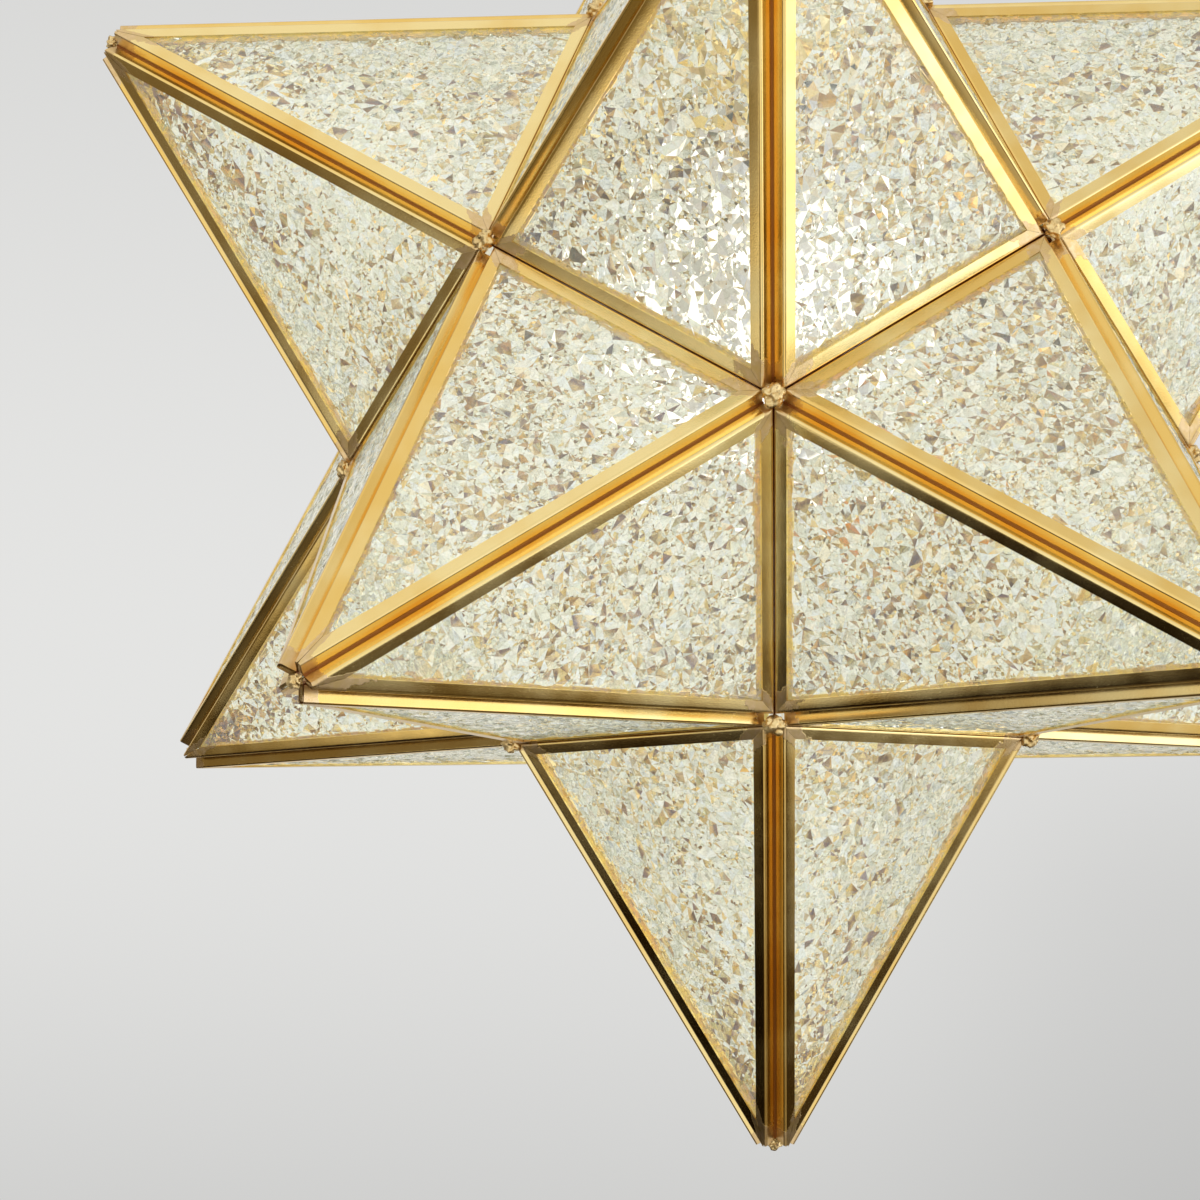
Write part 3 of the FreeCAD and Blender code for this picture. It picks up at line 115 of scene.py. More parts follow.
# The studio and its camera. Focal length and picture width are in pixels.
FLOOR_HEIGHT = -1.35
FLOOR_REACH = 3.0
FOCAL_LENGTH = 2438.79
PICTURE_WIDTH = 1200
SENSOR_WIDTH = 36.0
CAMERA_PLACE = Vector((-0.0761, -3.1567, -0.6831)) * STAR_RADIUS
CAMERA_TURN = (-0.0441, 0.1358, -0.0093)


# ---------------------------------------------------------------- shader wiring


class Wire:
    """An output of a shader node. Arithmetic on it adds Math nodes."""

    def __init__(self, tree, output=None):
        self.tree = tree
        self.output = output

    def node(self, kind, settings=None, inputs=None, out=0):
        node = self.tree.nodes.new("ShaderNode" + kind)
        for name, value in (settings or {}).items():
            if name == "stops":
                set_stops(node.color_ramp, value)
            else:
                setattr(node, name, value)
        for key, value in (inputs or {}).items():
            if isinstance(value, Wire):
                self.tree.links.new(value.output, node.inputs[key])
            else:
                node.inputs[key].default_value = value
        return Wire(self.tree, node.outputs[out])

    def sibling(self, name):
        """Another output of the same node."""
        return Wire(self.tree, self.output.node.outputs[name])

    def math(self, operation, *values):
        """Arithmetic on numbers, or on vectors where one of the values is a vector."""
        settings = {"operation": operation}
        wires = [value for value in values if isinstance(value, Wire)]
        if any(wire.output.type in ("VECTOR", "RGBA") for wire in wires):
            values = [value if isinstance(value, Wire) else (value,) * 3 for value in values]
            return self.node("VectorMath", settings, dict(enumerate(values)))
        return self.node("Math", settings, dict(enumerate(values)))

    def __add__(self, other):
        return self.math("ADD", self, other)

    __radd__ = __add__

    def __sub__(self, other):
        return self.math("SUBTRACT", self, other)

    def __rsub__(self, other):
        return self.math("SUBTRACT", other, self)

    def __mul__(self, other):
        return self.math("MULTIPLY", self, other)

    __rmul__ = __mul__

    def power(self, exponent):
        return self.math("POWER", self, exponent)

    def ramp(self, low, high, start=0.0, end=1.0):
        """Smoothly from start to end as the value goes from low to high."""
        settings = {"interpolation_type": "SMOOTHSTEP"}
        inputs = {"Value": self, 1: low, 2: high, 3: start, 4: end}
        return self.node("MapRange", settings, inputs)

    def blend(self, first, second):
        """A colour from first to second as this value goes from 0 to 1."""
        settings = {"data_type": "RGBA"}
        return self.node("Mix", settings, {0: self, 6: first, 7: second}, out=2)

    def steps(self, stops):
        """A colour picked from flat steps by this value."""
        picked = self.node("ValToRGB", {"stops": stops}, {0: self})
        picked.output.node.color_ramp.interpolation = "CONSTANT"
        return picked

    def mix_shader(self, first, second):
        return self.node("MixShader", None, {0: self, 1: first, 2: second})


def set_stops(ramp, stops):
    while len(ramp.elements) < len(stops):
        ramp.elements.new(0.5)
    for element, (place, tone) in zip(ramp.elements, stops):
        element.position = place
        element.color = tone


def colour(red, green, blue):
    return (red, green, blue, 1.0)


def new_material(name):
    material = bpy.data.materials.new(name)
    material.use_nodes = True
    material.node_tree.nodes.clear()
    return material, Wire(material.node_tree)


def close_material(material, surface):
    tree = material.node_tree
    output = tree.nodes.new("ShaderNodeOutputMaterial")
    tree.links.new(surface.output, output.inputs["Surface"])
    return material


def noise_at(wire, place, scale, detail, roughness=0.5, distortion=0.0):
    inputs = {
        "Vector": place,
        "Scale": scale,
        "Detail": detail,
        "Roughness": roughness,
        "Distortion": distortion,
    }
    return wire.node("TexNoise", None, inputs)


def stretched(wire, place, scale):
    """The coordinates, stretched by a scale along each axis."""
    return wire.node("Mapping", {"vector_type": "POINT"}, {"Vector": place, "Scale": scale})


def bumped(wire, height, strength, distance):
    inputs = {"Strength": strength, "Distance": distance, "Height": height}
    return wire.node("Bump", None, inputs)


# ---------------------------------------------------------------- finishes

BRASS = colour(0.94, 0.69, 0.25)
BRASS_PALE = colour(0.96, 0.77, 0.36)
BRASS_DEEP = colour(0.87, 0.58, 0.17)
HEAT_TAN = colour(0.60, 0.40, 0.18)
HEAT_PINK = colour(0.82, 0.60, 0.33)
SOLDER_BROWN = colour(0.20, 0.095, 0.03)
GROOVE_BROWN = colour(0.25, 0.075, 0.012)
GLASS_TINT = colour(0.965, 0.98, 0.94)
# Strength of the panes' painted glow, standing in for lamp light scattered in the glass.
GLASS_PAINTED_GLOW = 0.136
SPLINTERS_PER_METRE = 1250.0
SPLINTERED_SHARE = 0.40
SPLINTER_TILT = 0.42
# Painted shade: small dark specks at the corners of the splinters.
GLASS_SPECK_PAINTED_SHADE = colour(0.34, 0.28, 0.13)
# The painted reflection of the came's inner flange, seen through the glass along each rim: its
# colour and its painted glow.
GLASS_PAINTED_FLANGE_REFLECTION = colour(0.84, 0.80, 0.48)
GLASS_PAINTED_FLANGE_GLOW = colour(1.3, 1.2, 0.55)
# Splinter colours: painted light and shade of the small facets, with painted gold reflections
# of the came and painted white highlights.
GLASS_SPLINTER_PAINTED_SHADING = (
    (0.0, colour(0.88, 0.92, 0.76)),
    (0.30, colour(0.97, 0.95, 0.78)),
    (0.52, colour(0.70, 0.76, 0.60)),
    (0.66, colour(0.86, 0.93, 0.90)),
    (0.80, colour(0.97, 0.90, 0.60)),
    (0.90, colour(0.56, 0.53, 0.36)),
    (0.97, colour(0.97, 0.76, 0.36)),
)
# Facet and flake colours: painted light and shade, with painted gold reflections of the came
# and painted white highlights.
GLASS_SHARD_PAINTED_SHADING = (
    (0.0, colour(0.86, 0.90, 0.76)),
    (0.40, colour(0.66, 0.70, 0.58)),
    (0.48, colour(0.93, 0.95, 0.84)),
    (0.60, colour(0.80, 0.84, 0.68)),
    (0.70, colour(0.98, 0.96, 0.84)),
    (0.78, colour(0.96, 0.86, 0.56)),
    (0.82, colour(0.80, 0.88, 0.92)),
    (0.93, colour(0.87, 0.92, 0.90)),
    (0.97, colour(0.97, 0.80, 0.46)),
)


def came_brass():
    """Polished rolled brass, dulled and tanned by the torch near each joint, and each strip
    painted lighter or darker as painted shade for how it catches the light.
    """
    material, wire = new_material("came_brass")
    place = wire.node("TexCoord", out="Object")
    along = wire.node("UVMap", {"uv_map": "strip"})
    scorch = wire.node("Attribute", {"attribute_name": "scorch"}, out="Fac")
    shade = wire.node("Attribute", {"attribute_name": "shade"}, out="Fac")
    seam = wire.node("Attribute", {"attribute_name": "seam"}, out="Fac")
    cloud = noise_at(wire, place, 55.0, 3.0)
    grit = noise_at(wire, place, 2600.0, 2.0)
    lines = noise_at(wire, stretched(wire, along, (40.0, 2400.0, 1.0)), 1.0, 2.0)
    blotch = noise_at(wire, place, 420.0, 4.0, 0.65)
    tan = (scorch + (blotch - 0.5) * 0.9).ramp(0.47, 0.52)
    # Each strip's own value makes its brass lighter or darker: painted shade for how the strip
    # catches the light, on top of a random mottle.
    metal = (cloud + (shade - 0.5)).ramp(0.25, 0.8).blend(BRASS_DEEP, BRASS_PALE)
    metal = (blotch.ramp(0.62, 0.75) * 0.25).blend(metal, BRASS)
    burnt = blotch.ramp(0.3, 0.7).blend(HEAT_TAN, HEAT_PINK)
    base = (tan * blotch.ramp(0.35, 0.6, 0.6, 0.95)).blend(metal, burnt)
    soldered = (seam + (blotch - 0.5) * 0.5).ramp(0.45, 0.8)
    base = (soldered * 0.95).blend(base, GROOVE_BROWN)
    rough = cloud.ramp(0.3, 0.7, 0.12, 0.20) + tan * 0.13 + soldered * 0.2
    rough = rough + grit.ramp(0.6, 0.8) * 0.1
    height = grit * 0.6 + lines * 0.15 + tan * blotch * 3.0 + soldered * blotch * 4.0
    surface = wire.node(
        "BsdfPrincipled",
        None,
        {
            "Base Color": base,
            "Metallic": 1.0,
            "Roughness": rough,
            "Normal": bumped(wire, height, 0.35, 0.00003),
        },
    )
    return close_material(material, surface)


def fitting_brass():
    """Spun and cast brass with a fine satin grain."""
    material, wire = new_material("fitting_brass")
    place = wire.node("TexCoord", out="Object")
    cloud = noise_at(wire, place, 60.0, 3.0)
    grain = noise_at(wire, stretched(wire, place, (1.0, 1.0, 9.0)), 900.0, 3.0)
    base = cloud.ramp(0.3, 0.75).blend(BRASS_DEEP, BRASS_PALE)
    surface = wire.node(
        "BsdfPrincipled",
        None,
        {
            "Base Color": base,
            "Metallic": 1.0,
            "Roughness": cloud.ramp(0.3, 0.7, 0.2, 0.3) + grain * 0.08,
            "Normal": bumped(wire, grain, 0.3, 0.00004),
        },
    )
    return close_material(material, surface)


def solder_metal():
    """Lumpy brass-coloured solder with dark flux in its hollows."""
    material, wire = new_material("solder")
    place = wire.node("TexCoord", out="Object")
    lumps = noise_at(wire, place, 520.0, 5.0, 0.65, 0.4)
    flux = noise_at(wire, place, 900.0, 3.0)
    tone = lumps.ramp(0.35, 0.6).blend(colour(0.70, 0.48, 0.20), colour(0.96, 0.75, 0.38))
    base = (flux.ramp(0.55, 0.7) * 0.7).blend(tone, SOLDER_BROWN)
    surface = wire.node(
        "BsdfPrincipled",
        None,
        {
            "Base Color": base,
            "Metallic": flux.ramp(0.55, 0.72, 1.0, 0.5),
            "Roughness": lumps.ramp(0.3, 0.7, 0.22, 0.5),
            "Normal": bumped(wire, lumps + flux * 0.4, 0.7, 0.0003),
        },
    )
    return close_material(material, surface)


def textured_glass():
    """Clear crackled glass, lit from inside by the lamp: plain facets and splintered ones. Its
    colours hold painted light and shade of the facets, painted gold reflections of the came, a
    painted glow for lamp light scattered in the glass, and a painted reflection of the came's
    inner flange along each rim.
    """
    material, wire = new_material("textured_glass")
    place = wire.node("TexCoord", out="Object")
    facing = wire.node("NewGeometry", out="Normal")
    shard = wire.node("Attribute", {"attribute_name": "shard"}, out="Fac")
    fringe = wire.node("Attribute", {"attribute_name": "fringe"}, out="Fac")
    cells = {"Vector": place, "Scale": SPLINTERS_PER_METRE}
    grain = wire.node("TexVoronoi", None, cells, out="Color")
    dice = wire.node("SeparateColor", None, {0: grain}, out="Red")
    splintered = shard.ramp(SPLINTERED_SHARE, SPLINTERED_SHARE - 0.01)
    # Each facet's colour: painted light and shade, and painted reflections of the came.
    tone = splintered.blend(shard.steps(GLASS_SHARD_PAINTED_SHADING), dice.steps(GLASS_SPLINTER_PAINTED_SHADING))
    # Painted shade: dark specks at the corners of the splinters.
    painted_shade_speck = grain.sibling("Distance").ramp(0.54, 0.66) * dice.ramp(0.55, 0.57)
    tone = (painted_shade_speck * splintered.ramp(0.0, 1.0, 0.35, 0.9)).blend(tone, GLASS_SPECK_PAINTED_SHADE)
    tilt = (grain - 0.5) * (splintered * SPLINTER_TILT)
    # A band along the rim painted with the came's inner flange as a reflection, with a painted
    # glow there.
    edge = (fringe + (dice - 0.5) * 0.9).ramp(0.50, 0.62)
    light = edge.blend(tone, GLASS_PAINTED_FLANGE_GLOW)
    tone = edge.blend(tone, GLASS_PAINTED_FLANGE_REFLECTION)
    surface = wire.node(
        "BsdfPrincipled",
        None,
        {
            "Base Color": (0.62 - edge * 0.2).blend(GLASS_TINT, tone),
            "Roughness": dice.ramp(0.2, 0.9, 0.01, 0.09),
            "IOR": 1.5,
            "Transmission Weight": 0.93,
            # The whole pane glows a little: a painted glow for lamp light scattered in the
            # glass.
            "Emission Color": light,
            "Emission Strength": GLASS_PAINTED_GLOW,
            "Normal": wire.math("NORMALIZE", facing + tilt),
        },
    )
    return close_material(material, surface)


def pane_back():
    """The panes' smooth inner face and cut edges."""
    material, wire = new_material("pane_back")
    place = wire.node("TexCoord", out="Object")
    haze = noise_at(wire, place, 90.0, 1.0)
    surface = wire.node(
        "BsdfPrincipled",
        None,
        {
            "Base Color": haze.blend(GLASS_TINT, colour(0.99, 0.995, 0.98)),
            "Roughness": haze.ramp(0.3, 0.7, 0.0, 0.03),
            "IOR": 1.5,
            "Transmission Weight": 1.0,
        },
    )
    return close_material(material, surface)


def plated_steel():
    """Nickel-plated steel, faintly clouded."""
    material, wire = new_material("plated_steel")
    place = wire.node("TexCoord", out="Object")
    cloud = noise_at(wire, place, 300.0, 3.0)
    surface = wire.node(
        "BsdfPrincipled",
        None,
        {
            "Base Color": cloud.blend(colour(0.50, 0.50, 0.50), colour(0.68, 0.67, 0.65)),
            "Metallic": 1.0,
            "Roughness": cloud.ramp(0.3, 0.7, 0.22, 0.38),
            "Normal": bumped(wire, cloud, 0.2, 0.00005),
        },
    )
    return close_material(material, surface)


def moulded(name, dark, light, rough, scale):
    """A moulded or pressed material, mottled from dark to light."""
    material, wire = new_material(name)
    place = wire.node("TexCoord", out="Object")
    mottle = noise_at(wire, place, scale, 4.0)
    surface = wire.node(
        "BsdfPrincipled",
        None,
        {
            "Base Color": mottle.blend(dark, light),
            "Roughness": mottle.ramp(0.3, 0.7, rough, rough + 0.15),
            "Normal": bumped(wire, mottle, 0.2, 0.0001),
        },
    )
    return close_material(material, surface)


def lamp_glow():
    """The lamp's frosted envelope, lit in bands by the rods behind it."""
    material, wire = new_material("lamp_glow")
    place = wire.node("TexCoord", out="Object")
    across = wire.node("SeparateXYZ", None, {0: place}, out="X")
    frost = noise_at(wire, place, 240.0, 3.0)
    wander = noise_at(wire, place, 45.0, 2.0)
    angle = wire.math("ARCTAN2", across.sibling("Y"), across)
    bands = wire.math("SINE", angle * 6.0 + wander * 9.0).ramp(-0.1, 0.5, 0.03, 1.0)
    below = across.sibling("Z").ramp(LAMP_SHOULDER, LAMP_SHOULDER - 0.03)
    bright = below * bands * frost.ramp(0.2, 0.8, 0.85, 1.0)
    surface = wire.node(
        "BsdfPrincipled",
        None,
        {
            "Base Color": frost.blend(colour(0.30, 0.30, 0.29), colour(0.36, 0.36, 0.35)),
            "Roughness": frost.ramp(0.3, 0.7, 0.35, 0.5),
            "Emission Color": bright.blend(colour(0.24, 0.22, 0.195), colour(1.0, 0.96, 0.92)),
            "Emission Strength": 1.5,
        },
    )
    return close_material(material, surface)


# ---------------------------------------------------------------- the star's layout


def compass(azimuth):
    """Horizontal direction; azimuth 0 is the front and 90 is +X."""
    angle = math.radians(azimuth)
    return Vector((math.sin(angle), -math.cos(angle), 0.0))


def point_axes():
    """Each point's tip direction and the direction to the middle of a base edge."""
    up = Vector((0, 0, 1))
    axes = {"top": (up, compass(0)), "bottom": (-up, compass(180))}
    for index in range(5):
        outward = compass(36 + 72 * index)
        tip = outward * math.sin(SLOPE) - up * math.cos(SLOPE)
        side = outward * -math.cos(SLOPE) - up * math.sin(SLOPE)
        axes["lower_%d" % (index + 1)] = (tip, side)
        outward = compass(72 * index)
        tip = outward * math.sin(SLOPE) + up * math.cos(SLOPE)
        side = outward * -math.cos(SLOPE) + up * math.sin(SLOPE)
        axes["upper_%d" % (index + 1)] = (tip, side)
    return axes


POINTS = point_axes()


def pane_frames(point):
    """The five panes' frames: x along the base, y up the slope, z outward."""
    tip, side = POINTS[point]
    other = tip.cross(side)
    frames = []
    for index in range(5):
        angle = math.radians(72 * index)
        facing = side * math.cos(angle) + other * math.sin(angle)
        base = tip.cross(facing)
        slope = facing * -math.cos(SLOPE) + tip * math.sin(SLOPE)
        outward = facing * math.sin(SLOPE) + tip * math.cos(SLOPE)
        middle = STAR_CENTRE + facing * PENTAGON_INRADIUS + tip * BASE_HEIGHT
        place = Matrix((base, slope, outward)).transposed().to_4x4()
        place.translation = middle
        frames.append(place)
    return frames


def side_x(inset, y):
    """Half a pane's width at height y, this far in from its ridges."""
    return EDGE / 2 - (inset + y * SIN18) / COS18


def apex_y(inset, half_width):
    """The height at which a pane, this far in from its ridges, is that narrow."""
    return ((EDGE / 2 - half_width) * COS18 - inset) / SIN18


CUT_UP_PANE = (CUT_HEIGHT - BASE_HEIGHT) / math.sin(SLOPE)
TIP_UP_PANE = apex_y(RIDGE_INSET, TIP_WIDTH / 2)


def base_gap(point):
    return DOOR_GAP if point == DOOR else CAME_GAP


def node_name(kind, point):
    return "%s_%s" % (kind, "access" if point == DOOR else point)


def body_of_point(point):
    return "access_point" if point == DOOR else "star"


def new_object(name, mesh, material, body, replaced):
    """A finished piece in place of CAD nodes, riding on their body."""
    mesh.materials.append(material)
    piece = bpy.data.objects.new(name, mesh)
    bpy.context.scene.collection.objects.link(piece)
    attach(piece, body)
    for node in replaced:
        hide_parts(node)
    return piece


# ---------------------------------------------------------------- came strips


def came_profile(kind, dip, sealed):
    """The folded channel's outline: (in from its edge, down from its face, share of seam).

    A ridge's groove has solder along its bottom, and a sealed crease has it under the slit.
    """
    bend = BASE_BEND if kind == "base" else RIDGE_BEND
    rim, deep = FLANGE, CAME_DEPTH
    face = []
    for share in (0, 0.3, 0.6, 0.85):
        face.append((rim - (rim - bend) * share, dip * (1 - share) ** 1.6, 0.0))
    for turn in range(5):
        angle = math.radians(22.5 * turn)
        face.append((bend - bend * math.sin(angle), bend - bend * math.cos(angle), 0.0))
    if kind in ("left", "right"):
        foot = deep - GROOVE_FILL
        web = [
            (0.0, deep * 0.5, 0.0),
            (0.0, foot - GROOVE_FILL * 1.2, 0.0),
            (0.0, foot - GROOVE_FILL, 1.0),
            (-CAME_GAP - GROOVE_FILL / GOLDEN, foot, 1.0),
            (-CAME_GAP, deep, 1.0),
        ]
    elif sealed:
        foot = CREASE_FILL_DEPTH
        web = [
            (0.0, foot - GROOVE_FILL, 0.6),
            (-CAME_GAP - foot / GOLDEN, foot, 1.0),
            (0.0, foot + GROOVE_FILL, 1.0),
            (0.0, deep, 0.0),
        ]
    else:
        web = [(0.0, deep * 0.5, 0.0), (0.0, deep, 0.0)]
    inside = [
        (rim, deep, 0.0),
        (rim, deep - SHEET, 0.0),
        (SHEET, deep - SHEET, 0.0),
        (SHEET, SHEET, 0.0),
        (rim * 0.6, SHEET + dip * 0.3, 0.0),
        (rim, SHEET + dip, 0.0),
    ]
    return face + web + inside


def is_sealed(point, place):
    """Whether a pane's base is soldered to its neighbour's: not beside the hinged point."""
    middle = place.translation - STAR_CENTRE
    nearest = sorted(POINTS, key=lambda name: POINTS[name][0].dot(middle))[-2:]
    return DOOR not in nearest


def strip_ends(point, kind, inset):
    """Where a strip starts and ends, this far in from the pane's edge of that kind."""
    gap = base_gap(point)
    low = gap + inset
    ridge = RIDGE_INSET + inset
    half = SEAM / 2
    corner = side_x(ridge, low)
    if kind == "base":
        return (-corner + half, low), (corner - half, low)
    if kind == "head":
        high = CUT_UP_PANE - inset
        head = side_x(ridge, high)
        return (head - half, high), (-head + half, high)
    start = (corner, low + half)
    if point == "top":
        high = CUT_UP_PANE - inset
        end = (side_x(ridge, high), high - half)
    else:
        meet = apex_y(ridge, half)
        if meet < TIP_UP_PANE:
            end = (half, meet)
        else:
            end = (side_x(ridge, TIP_UP_PANE), TIP_UP_PANE)
    if kind == "left":
        return (-end[0], end[1]), (-start[0], start[1])
    return start, end


class MeshBuilder:
    """Collects one mesh's vertices and faces, and the values that each carries."""

    def __init__(self):
        self.points = []
        self.faces = []
        self.values = {}
        self.slots = []
        self.shards = []
        self.uvs = []

    def add_value(self, name, value):
        self.values.setdefault(name, []).append(value)

    def add_face(self, corners, material_slot, shard=0.5):
        self.faces.append(corners)
        self.slots.append(material_slot)
        self.shards.append(shard)

    def make(self, name, smooth_angle=None):
        mesh = bpy.data.meshes.new(name)
        mesh.from_pydata(self.points, [], self.faces)
        for value_name, values in self.values.items():
            layer = mesh.attributes.new(value_name, "FLOAT", "POINT")
            layer.data.foreach_set("value", values)
        if self.shards:
            layer = mesh.attributes.new("shard", "FLOAT", "FACE")
            layer.data.foreach_set("value", self.shards)
        if self.uvs:
            layer = mesh.uv_layers.new(name="strip")
            for loop in mesh.loops:
                layer.data[loop.index].uv = self.uvs[loop.vertex_index]
        if smooth_angle is not None:
            mesh.shade_smooth()
            mesh.set_sharp_from_angle(angle=math.radians(smooth_angle))
        mesh.validate()
        return mesh


def add_strip(builder, place, point, kind, rng):
    """One mitred strip of came, slightly uneven along its length."""
    dip = rng.uniform(*STRIP_DIP)
    # A random value per strip that paints its brass lighter or darker: painted shade.
    shade = rng.uniform(0.3, 0.7)
    wave = rng.uniform(0, 1000)
    reach = rng.uniform(*TORCH_REACH)
    profile = came_profile(kind, dip, is_sealed(point, place))
    ends = [strip_ends(point, kind, inset) for inset, _, _ in profile]
    length = (Vector(ends[0][1]) - Vector(ends[0][0])).length
    pointed = kind in ("left", "right") and point != "top"
    steps = max(6, int(length / STRIP_STEP))
    count = len(profile)
    start = len(builder.points)
    for step in range(steps + 1):
        share = step / steps
        from_start, from_end = share * length, (1 - share) * length
        if pointed and kind == "left":
            from_start -= TIP_SOLDER
        elif pointed:
            from_end -= TIP_SOLDER
        scorch = max(0.0, 1.0 - min(from_start, from_end) / reach)
        fade = math.sin(math.pi * share)
        wander = noise.noise(Vector((share * length * STRIP_WAVES, wave, 0.0)))
        sway = abs(wander * STRIP_SWAY * fade)
        for index, (_, depth, seam) in enumerate(profile):
            (x0, y0), (x1, y1) = ends[index]
            x = x0 + (x1 - x0) * share
            y = y0 + (y1 - y0) * share
            builder.points.append(place @ Vector((x, y, -depth - sway)))
            builder.add_value("scorch", scorch)
            builder.add_value("seam", seam)
            builder.add_value("shade", shade)
            builder.uvs.append((share * length, index / count * STRIP_GIRTH))
    for step in range(steps):
        low = start + step * count
        for index in range(count):
            following = (index + 1) % count
            builder.faces.append(
                (low + index, low + following, low + count + following, low + count + index)
            )
    builder.faces.append(tuple(range(start + count - 1, start - 1, -1)))
    end = start + steps * count
    builder.faces.append(tuple(range(end, end + count)))


def build_cames(material):
    """Each point's strips, in one piece for each point."""
    for number, point in enumerate(POINTS):
        rng = random.Random(STRIP_SEED + number)
        builder = MeshBuilder()
        kinds = ("base", "right", "left") + (("head",) if point == "top" else ())
        for place in pane_frames(point):
            for kind in kinds:
                add_strip(builder, place, point, kind, rng)
        name = node_name("came", point)
        mesh = builder.make(name + "_strips", 32)
        piece = new_object(name + "_strips", mesh, material, body_of_point(point), [name])


# ---------------------------------------------------------------- glass


def pane_outline(point):
    """A pane's four corners, held inside its cames."""
    inset = RIDGE_INSET + GLASS_MARGIN
    low = base_gap(point) + GLASS_MARGIN
    high = CUT_UP_PANE - GLASS_MARGIN if point == "top" else apex_y(inset, GLASS_TIP)
    return [
        (-side_x(inset, low), low),
        (side_x(inset, low), low),
        (side_x(inset, high), high),
        (-side_x(inset, high), high),
    ]


def edge_points(outline, spacing):
    """Evenly spaced spots round an outline."""
    points = []
    for index, first in enumerate(outline):
        start = Vector(first)
        run = Vector(outline[(index + 1) % len(outline)]) - start
        steps = max(1, round(run.length / spacing))
        points += [start + run * (step / steps) for step in range(steps)]
    return points


def window_depth(point, place):
    """How far inside the came's window a spot of the pane lies."""
    x, y = place
    low = y - base_gap(point) - FLANGE
    ridge = (side_x(RIDGE_INSET + FLANGE, y) - abs(x)) * COS18
    high = (CUT_UP_PANE - FLANGE - y) if point == "top" else 1.0
    return min(low, ridge, high)


def scatter_flakes(rng):
    """Places, sizes, tilts and levels of a pane's larger flat flakes."""
    flakes = []
    for _ in range(FLAKES):
        middle = Vector((rng.uniform(-EDGE / 2, EDGE / 2), rng.uniform(0, FLAKES_HEIGHT)))
        reach = rng.uniform(*FLAKE_REACH)
        tilt = Vector(
            (rng.uniform(-FLAKE_TILT, FLAKE_TILT), rng.uniform(-FLAKE_TILT, FLAKE_TILT))
        )
        flakes.append((middle, reach, tilt, rng.uniform(-FLAKE_LEVEL, FLAKE_LEVEL)))
    return flakes


def crackle(point, rng):
    """A pane's broken surface: spots, triangles, levels, rim, flakes, and how strongly each
    spot shows the painted reflection of the came's inner flange.
    """
    rim = edge_points(pane_outline(point), RIM_STEP)
    spots = list(rim)
    depths = [0.0] * len(rim)
    owners = [None] * len(rim)
    painted_flange_reflections = [1.0] * len(rim)
    flakes = scatter_flakes(rng)
    rows = int(PANE_ROWS_HEIGHT / FACET_ROW)
    columns = int(EDGE / FACET)
    for row in range(rows):
        for column in range(columns):
            if rng.random() < FACETS_LEFT_OUT:
                continue
            x = (column + 0.5 * (row % 2) - columns / 2) * FACET
            stray = Vector((rng.uniform(-1, 1), rng.uniform(-1, 1)))
            spot = Vector((x, row * FACET_ROW)) + stray * FACET_STRAY
            inside = window_depth(point, spot)
            if inside < -RIM_COVER:
                continue
            depth = rng.uniform(-1, 1) * FACET_DEPTH
            owner = None
            for number, (middle, reach, tilt, level) in enumerate(flakes):
                if (spot - middle).length < reach:
                    depth = level + (spot - middle).dot(tilt)
                    owner = number
            fade = min(1.0, max(0.0, (inside + RIM_FADE_START) / RIM_FADE))
            spots.append(spot)
            depths.append(depth * fade)
            owners.append(owner)
            # The painted reflection of the came's inner flange is strongest at the rim and
            # fades inward.
            painted_flange_reflections.append(max(0.0, 1.0 - max(0.0, inside) / PAINTED_REFLECTION_REACH))
    loop = [(index, (index + 1) % len(rim)) for index in range(len(rim))]
    placed, _, triangles, origins = delaunay_2d_cdt(spots, loop, [], 1, 1e-7)[:4]
    levels = [depths[source[0]] if source else 0.0 for source in origins]
    edges = [painted_flange_reflections[source[0]] if source else 1.0 for source in origins]
    held = [owners[source[0]] if source else None for source in origins]
    groups = [
        held[first] if held[first] == held[second] == held[third] else None
        for first, second, third in triangles
    ]
    order = {source: index for index, sources in enumerate(origins) for source in sources}
    ring = [order[index] for index in range(len(rim))]
    return placed, triangles, levels, ring, groups, edges


def add_pane(builder, place, surface, rng):
    """A pane with a broken outer face and a flat inner one."""
    spots, triangles, levels, ring, groups, edges = surface
    start = len(builder.points)
    top = -GLASS_TOP - GLASS_SKIN
    back = -GLASS_TOP - GLASS_THICKNESS + GLASS_SKIN
    for spot, level, edge in zip(spots, levels, edges):
        builder.points.append(place @ Vector((spot.x, spot.y, top + level)))
        # Each vertex carries how strongly the came's inner flange is painted in as a
        # reflection.
        builder.add_value("fringe", edge)
    bottom = len(builder.points)
    for index in ring:
        builder.points.append(place @ Vector((spots[index].x, spots[index].y, back)))
        builder.add_value("fringe", 0.0)
    flakes = [rng.uniform(0.6, 1.0) for _ in range(FLAKES)]
    for triangle, group in zip(triangles, groups):
        shard = rng.random() if group is None else flakes[group]
        builder.add_face(tuple(start + index for index in triangle), 0, shard)
    count = len(ring)
    for index in range(count):
        following = (index + 1) % count
        near, far = start + ring[index], start + ring[following]
        builder.add_face((far, near, bottom + index, bottom + following), 1)
    builder.add_face(tuple(bottom + index for index in reversed(range(count))), 1)


